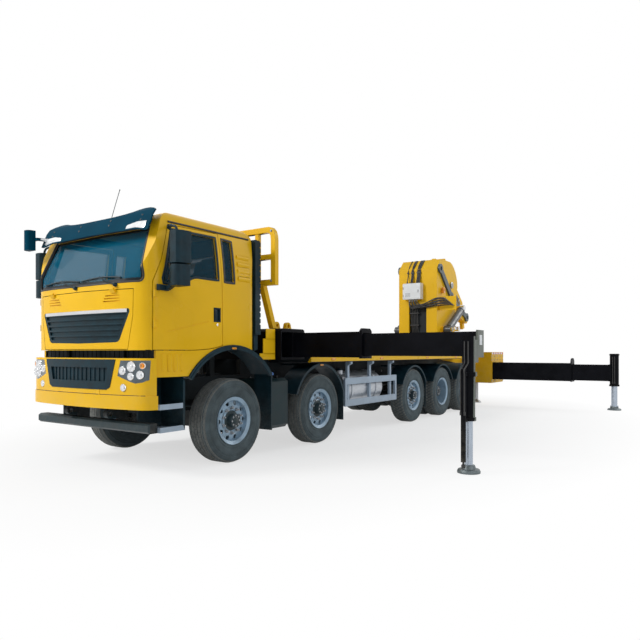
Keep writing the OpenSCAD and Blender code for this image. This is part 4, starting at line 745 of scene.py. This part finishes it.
# Strips across the front: bright over the grille, and dark strips of painted shade along the crease of the bumper's lip
# and between windscreen and visor
for name, body, node, places, section, key in (
        ("flap_strip", "front_flap", "grille front_flap", [in_cab(AHEAD, 812 * (2 * t - 1), 756) for t in steps(49)],
         strip(0.042, -0.003, 0.008), "chrome"),
        # A dark strip along the bumper's crease: painted shade in the crease.
        ("bumper_crease", "chassis", "bumper", [(7.0, 1.09 * (2 * t - 1), 0.930) for t in steps(49)],
         strip(0.008, -0.002, 0.0012), "rubber"),
        # A dark strip between windscreen and visor: painted shade under the visor.
        ("screen_header", "chassis", "cab_shell",
         [in_cab(AHEAD, 924 * (2 * t - 1), SCREEN_TOP + 62) for t in steps(49)],
         strip(0.070, -0.002, 0.0012), "rubber")):
    bm = bmesh.new()
    path, normals = trace(node, places, BACK)
    sweep(bm, path, section, normals)
    piece(name, bm, key, body=body)
bolts("visor_studs", "chassis", "cab_trim",
      [in_cab(2400, y, z) for y in (-880, -300, 300, 880) for z in (1790, 1850)], BACK, 0.008, "dark_paint")

# Aerial on the roof
bm = bmesh.new()
foot = hit("cab_shell", in_cab(700, -430, 2600), DOWN)[0]
lathe(bm, foot, UP, [(0.030, -0.004), (0.030, 0.010), (0.020, 0.024), (0.008, 0.040), (0.006, 0.044)], 20)
path = smooth([foot + Vector((x, 0, z)) for x, z in ((0, 0.03), (-0.07, 0.26), (-0.16, 0.54))], 0.03)
sweep(bm, path, tube(0.0045))
lathe(bm, path[-1], path[-1] - path[-2], [(0, -0.006), (0.007, -0.006), (0.007, 0.006), (0, 0.008)], 10)
piece("aerial", bm, "black")

# Inner panel behind the slot over the bumper, ribbed, with the cab's tilt struts
bm = bmesh.new()
for i in range(24):
    y0 = -1.06 + 2.12 * i / 24
    block(bm, (AXLE_1 + 1.186, y0 + 0.006, 1.16), (AXLE_1 + 1.198, y0 + 0.082, 1.470), 0, 0.4)
block(bm, (AXLE_1 + 1.178, -1.075, 1.14), (AXLE_1 + 1.190, 1.075, 1.475), 0, 0.4)
for side in (1, -1):
    lathe(bm, (AXLE_1 + 1.215, side * 0.55, 1.17), UP,
          disc(0.028, 0, 0.14, (0.016, 0.15), (0.016, 0.26)), 16)
piece("front_bay_panel", bm, "frame")

# Pressed louvres behind the quarter windows and scoops under the doors
LOUVRE = [(-0.034, -0.004), (-0.030, 0.003), (-0.008, 0.013), (0.012, 0.012), (0.028, 0.003), (0.034, -0.004)]
SCOOP = [(-0.030, -0.004), (-0.024, 0.003), (-0.004, 0.014), (0.014, 0.010), (0.026, 0.002), (0.030, -0.004)]
PRESSINGS = [([(-325 + 225 * t, z) for t in steps(9)], LOUVRE) for z in (1235, 1330, 1425, 1520)]
PRESSINGS += [([(x - 8 + 8 * t, 70 + 190 * t) for t in steps(8)], SCOOP) for x in (880, 965, 1050, 1135)]
bm = bmesh.new()
for side in (1, -1):
    for spots, section in PRESSINGS:
        path = trace("cab_shell", [in_cab(x, side * BESIDE, z) for x, z in spots], (0, -side, 0))[0]
        sweep(bm, path, section, [OUT[side]] * len(path))
piece("cab_pressings", bm, "yellow", sharp=60)

# Upper mirror arms
for word, side in SIDES:
    bm = bmesh.new()
    foot, out = hit("door_" + word, in_cab(1000, side * BESIDE, 1722), (0, -side, 0))
    path = smooth([foot - out * 0.006, foot + Vector((0.02, side * 0.06, 0.015)), in_cab(1075, side * 1190, 1712),
                        in_cab(1092, side * 1290, 1690), in_cab(1092, side * 1330, 1625)], 0.02)
    sweep(bm, path, tube(0.015, 12))
    lathe(bm, foot - out * 0.004, out, [(0, 0), (0.034, 0), (0.032, 0.010), (0.020, 0.022), (0, 0.022)], 20)
    piece("mirror_arm_" + word, bm, "black", body="door_" + word)

# Folded bracket plates from the frame to the foot of the headboard
bm = bmesh.new()
for side in (1, -1):
    for x1, z0, z1 in ((4.185, 1.310, 1.395), (4.110, 1.385, 1.600), (4.050, 1.590, 1.740)):
        block(bm, (3.845, side * 1.100, z0), (x1, side * 1.112, z1), 0, 0.3)
    block(bm, (3.845, side * 1.040, 1.310), (3.857, side * 1.112, 1.740), 0, 0.3)
piece("headboard_brackets", bm, "yellow")


# Seats: a crowned cushion, back and head pad over each seat base
def pad(name, low, high, lean):
    """A stuffed form: a rounded block whose faces swell and whose seam line pulls in."""
    mid, half = (low + high) / 2, (high - low) / 2
    bm = bmesh.new()
    bmesh.ops.create_cube(bm, size=2.0)
    bmesh.ops.subdivide_edges(bm, edges=bm.edges, cuts=9, use_grid_fill=True)
    for v in bm.verts:
        x, y, z = v.co
        bulge = (1 - x * x) * (1 - y * y) * 0.22 + 0.90
        edge = 1.0 - 0.10 * (abs(x) ** 6 * abs(y) ** 6)
        crease = 0.975 if abs(abs(y) - 0.6) < 0.11 and z > 0.5 else 1.0
        waist = 1 - 0.06 * abs(z) ** 4
        p = Vector((x * edge * waist, y * edge * waist, z * (bulge - 0.12) * crease))
        v.co = mid + Vector((p.x * half.x + lean * (p.z if half.z > 0.2 else 0), p.y * half.y, p.z * half.z))
    obj = piece(name, bm, "fabric", sharp=80)
    sub = obj.modifiers.new("soft", "SUBSURF")
    sub.levels = sub.render_levels = 1


for word, side in SIDES:
    y0, y1 = sorted((side * 312, side * 888))
    pad("seat_cushion_" + word, in_cab(-158, y0, 785), in_cab(408, y1, 905), 0)
    pad("seat_back_" + word, in_cab(-262, y0 + 6, 830), in_cab(92, y1 - 6, 1400), -0.085)
    pad("seat_head_" + word, in_cab(-272, y0 + 140, 1395), in_cab(-96, y1 - 140, 1562), -0.02)

# Tail lamps, blank plate and striped tape on the rear box
REAR_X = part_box("rear_outrigger_box")[0][0]
bm = bmesh.new()
for side in (1, -1):
    block(bm, (REAR_X - 0.028, side * 0.72, 1.185), (REAR_X + 0.004, side * 1.16, 1.320), 0, 0.6)
    for y, index in ((0.80, 3), (0.92, 1), (1.01, 1), (1.095, 2)):
        lathe(bm, (REAR_X - 0.027, side * y, 1.252), BACK,
              [(0.040, 0), (0.040, 0.004), (0.030, 0.008), (0, 0.010)], 24, index)
block(bm, (REAR_X - 0.012, -0.26, 1.19), (REAR_X + 0.003, 0.26, 1.305), 3, 0.3)
piece("tail_lamps", bm, "black", "red", "amber", "white")


def tape(name, start, run, direction, stripes):
    """Alternate red and white strips laid on the rear box."""
    bm = bmesh.new()
    for i in range(stripes):
        starts = [Vector(start) + Vector(run) * (i + t) / stripes for t in steps(3)]
        path = trace("rear_outrigger_box", starts, direction)[0]
        if len(path) == 3:
            sweep(bm, path, even((0.025, 0.0003), (0.025, 0.0016)), [-Vector(direction)] * 3, False, i % 2)
    piece(name, bm, "red", "white")


tape("tape_rear", (REAR_X - 0.5, -1.22, 1.375), (0, 2.44, 0), (1, 0, 0), 24)
for word, side in SIDES:
    tape("tape_box_" + word, (REAR_X + 0.03, side * 1.6, 1.375), (0.95, 0, 0), (0, -side, 0), 10)
    # Blank plate on the end of the front arm
    x, arm = FRONT_BEAM_X[side], "front_arm_" + word
    bm = bmesh.new()
    y = hit(arm, (x, side * 4.6, 1.56), (0, -side, 0))[0].y
    block(bm, (x - 0.045, y - side * 0.002, 1.50), (x + 0.045, y + side * 0.003, 1.62), 0, 0.2)
    piece("arm_plate_" + word, bm, "white", body=arm)

# Bolts: slewing ring, turntable, rear box, frame rails, crane base and headboard
SLEW_X = JOINTS["crane_slew"]["pos_m"][0]
for name, body, node, r, z, count, size in (
        ("ring_bolts", "chassis", "crane_base", 0.60, 1.755, 36, 0.014),
        ("turntable_bolts", "crane_column", "crane_column", 0.535, 2.2, 30, 0.013)):
    bolts(name, body, node, [(SLEW_X + r * cos(a), r * sin(a), z) for a in turns(count)], DOWN, size)
bm = bmesh.new()
for side in (1, -1):
    across = (0, -side, 0)
    for node, direction, starts in (
            ("rear_outrigger_box", across,
             [(-6.20 + 0.24 * i, side * 2.2, z) for i in range(5) for z in (0.64, 1.20, 1.30)]),
            ("chassis_frame", across, [(3.6 - 0.32 * i, side * 1.0, z) for i in range(28) for z in (0.84, 1.02)]),
            ("crane_base", across, [(-4.6 + 0.3 * i, side * 1.6, z) for i in range(5) for z in (1.40, 1.62)]),
            ("headboard", BACK, [(4.5, side * y, z) for y in (0.5, 1.2) for z in (2.40, 3.09)])):
        for place, out in zip(*trace(node, starts, direction)):
            if out.dot(Vector(direction)) < -0.9:
                bolt(bm, place, out, 0.012)
piece("frame_bolts", bm, "steel")

# Pin ends with their keeper bolts: place and radius
PINS = {
    "crane_column": [(-4.19, 3.15, 0.085), (-3.59, 1.98, 0.042), (-3.43, 3.50, 0.060), (-4.14, 2.85, 0.070)],
    "inner_boom": [(-5.84, 2.40, 0.075), (-4.591, 2.577, 0.045)],
}
for node, spots in PINS.items():
    bm = bmesh.new()
    for x, z, r in spots:
        for side in (1, -1):
            out = OUT[side]
            for place in trace(node, [(x, side * 1.4, z)], -out)[0]:
                lathe(bm, place, out,
                      disc(r, -0.002, 0.010, (r * 0.88, 0.016), (r * 0.3, 0.016), (r * 0.25, 0.012)), 32)
                for turn in (0.4, 3.54):
                    keeper = Vector((cos(turn), 0, sin(turn))) * r * 0.62
                    bolt(bm, place + keeper + out * 0.014, out, 0.009)
    piece(node + "_pin_caps", bm, "steel", body=node)


# Hydraulic lines, clipped to what carries them along their whole run
def clip_at(bm, place, across, out, width):
    """A saddle clip over a bundle of lines."""
    across, out = Vector(across).normalized(), Vector(out).normalized()
    path = [place + across * (width * a) + out * b for a, b in (
        (-1, -0.018), (-1, 0.018), (-0.9, 0.026), (0.9, 0.026), (1, 0.018), (1, -0.018))]
    sweep(bm, path, even((0.018, -0.002), (0.018, 0.003)), [out, out - across, out, out, out + across, out])


# Hoses from the box on the column's front up to glands on its slope
FRONT = -3.27
bm = bmesh.new()
for y in (-0.25, -0.145, -0.110, 0.010, 0.045, 0.080):
    path = [Vector((FRONT + x, y, z)) for x, z in ((0.075, 3.120), (0.070, 3.190), (0.030, 3.300))]
    for z in (3.38, 3.45):
        path.append(hit("crane_column", (-2.6, y, z), BACK)[0] + Vector((0.016, 0, 0)))
    for x, lift in ((-3.36, 0.016), (-3.42, 0.016), (-3.455, 0.016), (-3.492, -0.010)):
        place, out = hit("crane_column", (x, y, 4.4), DOWN)
        path.append(place + out * lift)
    lathe(bm, place, out, disc(0.024, -0.003, 0.008, (0.018, 0.014)), 14)
    sweep(bm, smooth(path, 0.025), tube(0.010 if y < -0.2 else 0.0165, 10))
    lathe(bm, (FRONT + 0.075, y, 3.125), UP, disc(0.020, 0, 0.035, (0.016, 0.040), (0.016, 0.065)), 6)
for y, width in ((-0.25, 0.022), (-0.128, 0.040), (0.045, 0.056)):
    clip_at(bm, Vector((FRONT + 0.010, y, 3.415)), (0, 1, 0), (1, 0, 0), width)
piece("column_hoses", bm, "hose", body="crane_column")

# Free hoses that hang from the valve box to the bracket on the column's left side
HOSES, BEND = 7, 0.115
QUARTER_TURN = [pi / 2 * t for t in steps(13)]
bm = bmesh.new()
for i in range(HOSES):
    row, back = i % 2, HOSES - 1 - i
    start = Vector((FRONT + 0.060 + 0.034 * row, -0.20 + 0.034 * i, 2.735))
    end = Vector((-3.352, 0.690 + 0.036 * back, 2.750 - 0.030 * back))
    low, turn = 2.605 - 0.017 * back, 0.120 + 0.034 * row
    path = [start] + [Vector((start.x, start.y + BEND * (1 - cos(a)), low + BEND * (1 - sin(a))))
                      for a in QUARTER_TURN]
    first, last = path[-1], Vector((end.x + turn, end.y - turn, end.z))
    for s in steps(25)[1:-1]:
        rise = s * s * (3 - 2 * s)
        path.append(Vector((first.x + (last.x - first.x) * rise, first.y + (last.y - first.y) * s,
                            first.z + (last.z - first.z) * rise)))
    path += [Vector((end.x + turn * cos(a), last.y + turn * sin(a), end.z)) for a in QUARTER_TURN]
    curve = bpy.data.curves.new("crane_hose_%d" % (i + 1), "CURVE")
    curve.dimensions = "3D"
    curve.bevel_depth = 0.0130
    curve.bevel_resolution = 3
    curve.use_fill_caps = True
    spline = curve.splines.new("POLY")
    spline.points.add(len(path) - 1)
    for spot, at in zip(spline.points, path):
        spot.co = (*at, 1.0)
    curve.materials.append(M["hose"])
    hose = put(curve.name, curve)
    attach(hose, "crane_column")
    lathe(bm, start + Vector((0, 0, 0.012)), DOWN,
          [(0.013, 0), (0.019, 0), (0.019, 0.034), (0.0155, 0.038), (0.0155, 0.058), (0.013, 0.058)], 6)
    lathe(bm, end + Vector((-0.030, 0, 0)), (1, 0, 0),
          [(0.010, 0), (0.019, 0), (0.019, 0.050), (0.0155, 0.054), (0.0155, 0.070), (0.013, 0.070)], 6)
piece("hose_fittings", bm, "steel", body="crane_column")

# Pipes down the slot in the front plate, with a dark panel behind them as painted shade inside the slot
bm = bmesh.new()
for i in range(5):
    y = -0.20 + 0.045 * i
    lead = [(FRONT - x, y * share, z) for x, share, z in (
        (0.02, 1.0, 2.62), (0.035, 1.0, 2.45), (0.045, 0.95, 2.25), (0.05, 0.9, 2.05), (0.09, 0.85, 1.88))]
    pipe(bm, lead)
block(bm, (FRONT - 0.060, -0.245, 2.38), (FRONT - 0.015, 0.030, 2.41), 0, 0.3)
block(bm, (FRONT - 0.075, -0.235, 2.08), (FRONT - 0.030, 0.020, 2.11), 0, 0.3)
piece("slot_pipes", bm, "hose", body="crane_column")
# A dark sheet closing the slot behind the pipes: painted shade inside the column.
bm = bmesh.new()
block(bm, (FRONT - 0.118, -0.358, 1.862), (FRONT - 0.106, 0.358, 2.640), 0, 0.3)
piece("slot_shade_panel", bm, "frame", body="crane_column")

# Lines along the booms: each boom's pin, with the directions along it and out of its top
P1, BOOM_D, BOOM_N = Vector((-4.19, 0, 3.15)), Vector((-0.9104, 0, -0.4137)), Vector((-0.4137, 0, 0.9104))
P2, OUT_D, OUT_N = Vector((-5.84, 0, 2.40)), Vector((0.7778, 0, 0.6285)), Vector((-0.6285, 0, 0.7778))
bm = bmesh.new()
for i in range(4):
    lane = P1 + BOOM_N * 0.9 + Vector((0, -0.09 + 0.06 * i, 0))
    path = trace("inner_boom", [lane + BOOM_D * (0.15 + 1.05 * t) for t in steps(12)], -BOOM_N)[0]
    pipe(bm, [p + BOOM_N * 0.014 for p in path])
for place in trace("inner_boom", [P1 + BOOM_D * s + BOOM_N * 0.9 for s in (0.3, 0.65, 1.0)], -BOOM_N)[0]:
    clip_at(bm, place + BOOM_N * 0.010, (0, 1, 0), BOOM_N, 0.13)
piece("inner_boom_lines", bm, "hose", body="inner_boom")
bm = bmesh.new()
for side in (1, -1):
    out = OUT[side]
    for rise in (0.10, 0.15):
        starts = [P2 + OUT_D * (0.42 + 1.45 * t) + OUT_N * rise + out * 1.2 for t in steps(14)]
        pipe(bm, [p + out * 0.013 for p in trace("outer_boom", starts, -out)[0]])
    for place in trace("outer_boom", [P2 + OUT_D * s + OUT_N * 0.125 + out * 1.2 for s in (0.6, 1.1, 1.6)], -out)[0]:
        clip_at(bm, place + out * 0.006, OUT_N, out, 0.055)
piece("outer_boom_lines", bm, "steel", body="outer_boom")

# Control box: door, hinges, latch and vents
BOX_X = -3.10
bm = bmesh.new()
block(bm, (BOX_X - 0.004, -0.305, 2.765), (BOX_X + 0.006, 0.125, 3.085), 0, 0.4)
for z in (2.83, 3.02):
    lathe(bm, (BOX_X + 0.006, -0.315, z), UP, disc(0.009, -0.03, 0.03), 12, 1)
block(bm, (BOX_X + 0.004, 0.075, 2.90), (BOX_X + 0.018, 0.105, 2.97), 1, 0.5)
for i in range(6):
    block(bm, (BOX_X + 0.004, -0.26, 2.80 + 0.017 * i), (BOX_X + 0.010, -0.12, 2.808 + 0.017 * i), 1, 0.3)
piece("control_box_door", bm, "white", "steel", body="crane_column")

# Lines down the outrigger legs, and the foot of the front legs' guide tube
for word, side in SIDES:
    for node, x, y, z0, z1 in (("front_arm_" + word, FRONT_LEG_X[side], 3.88, 0.70, 1.54),
                               ("rear_arm_" + word, REAR_LEG_X[side], 4.19, 0.66, 1.30)):
        bm = bmesh.new()
        for k in (-1, 1):
            starts = [(x + 0.6, side * (y + 0.022 * k), z0 + (z1 - z0) * t) for t in steps(14)]
            path = [p + Vector((0.012, 0, 0)) for p in trace(node, starts, BACK)[0]]
            pipe(bm, path, 0.008, 8)
            lathe(bm, path[0] + Vector((-0.006, 0, 0)), UP, disc(0.013, -0.012, 0.03), 6)
        if node.startswith("front"):
            lathe(bm, (x + side * 0.176, side * y, 0.152), DOWN,
                  [(0, 0), (0.012, 0), (0.012, 0.026), (0.023, 0.034), (0.026, 0.052), (0.020, 0.070), (0, 0.076)], 18)
        piece(node + "_lines", bm, "hose", body=node)

# Reservoir caps and tank fillers
bm = bmesh.new()
for place in trace("tanks", [(AXLE_1 - 0.90, side * 1.01, 1.6) for side in (1, -1)], DOWN)[0]:
    lathe(bm, place, UP, [(0, -0.003), (0.060, -0.003), (0.060, 0.022), (0.054, 0.034), (0, 0.036)], 28)
    for a in turns(12):
        lathe(bm, place + Vector((0.059 * cos(a), 0.059 * sin(a), 0)), UP,
              [(0, 0), (0.006, 0), (0.006, 0.020), (0, 0.024)], 6)
piece("reservoir_caps", bm, "blue")
bm = bmesh.new()
for place in trace("tanks", [(1.85, side * 0.91, 1.25) for side in (1, -1)], DOWN)[0]:
    lathe(bm, place, UP, disc(0.052, -0.003, 0.012, (0.046, 0.012), (0.046, 0.028), (0.040, 0.032)), 24)
piece("tank_caps", bm, "black")


# Light
def area_light(name, place, target, size, power, colour):
    lamp = bpy.data.lights.new(name, "AREA")
    lamp.shape = "DISK"
    lamp.size = size
    lamp.energy = power
    lamp.color = colour
    obj = put(name, lamp)
    obj.location = place
    obj.rotation_euler = (Vector(target) - Vector(place)).to_track_quat("-Z", "Y").to_euler()


area_light("key", (17.0, -9.0, 13.0), (2.0, 0.0, 1.2), 7.0, 2700.0, (1.0, 0.985, 0.96))
area_light("fill", (8.0, 17.0, 8.0), (0.0, 0.0, 1.2), 10.0, 420.0, (0.96, 0.98, 1.0))
area_light("back", (-14.0, 8.0, 11.0), (-2.0, 0.0, 1.5), 8.0, 900.0, (1.0, 1.0, 1.0))


def seen_rays(tree):
    """1 on rays from the camera, a mirror or a pane, so that only these see the white studio."""
    rays = add(tree, "ShaderNodeLightPath").outputs
    seen = maths(tree, "MAXIMUM", rays["Is Camera Ray"], rays["Is Glossy Ray"])
    return maths(tree, "MAXIMUM", seen, rays["Is Transmission Ray"])


def blend(tree, fac, a, b, target):
    """Mixes two shaders into an output node."""
    node = add(tree, "ShaderNodeMixShader")
    for source, socket in zip((fac, a.outputs[0], b.outputs[0]), node.inputs):
        tree.links.new(source, socket)
    tree.links.new(node.outputs[0], target.inputs["Surface"])


world = bpy.data.worlds.new("studio")
scene.world = world
world.use_nodes = True
wt = world.node_tree
wt.nodes.clear()
dim = add(wt, "ShaderNodeBackground", Color=(0.90, 0.95, 1.0, 1.0), Strength=0.42)
bright = add(wt, "ShaderNodeBackground", Color=(1.0, 1.0, 1.0, 1.0), Strength=1.0)
blend(wt, seen_rays(wt), dim, bright, add(wt, "ShaderNodeOutputWorld"))
scene.view_settings.view_transform = "Standard"

# Pale floor that keeps the shadow near the truck and runs out to white
FLOOR, FLOOR_Z = 120.0, -0.006
floor_mesh = bpy.data.meshes.new("floor")
floor_mesh.from_pydata([(x * FLOOR, y * FLOOR, FLOOR_Z) for x, y in CORNERS], [], [(0, 1, 2, 3)])
floor = put("floor", floor_mesh)
floor_mat, ft, floor_bsdf = new_material("floor_pale")
pale = mix(ft, ramp(ft, noise(ft, 0.8), 0.3, 0.7), (0.78, 0.78, 0.775), (0.81, 0.81, 0.808))
fill(floor_bsdf, {"Base Color": pale, "Roughness": 0.9, "Specular IOR Level": 0.1})
spot = add(ft, "ShaderNodeMapping", Vector=spot_on(ft), Scale=(0.62, 1.0, 0.0)).outputs["Vector"]
away = add(ft, "ShaderNodeVectorMath", operation="LENGTH", Vector=spot).outputs["Value"]
share = maths(ft, "MULTIPLY", ramp(ft, away, 2.6, 5.6, 0.62, 1.0), seen_rays(ft))
blend(ft, share, floor_bsdf, add(ft, "ShaderNodeEmission"), ft.nodes["Material Output"])
floor_mesh.materials.append(floor_mat)
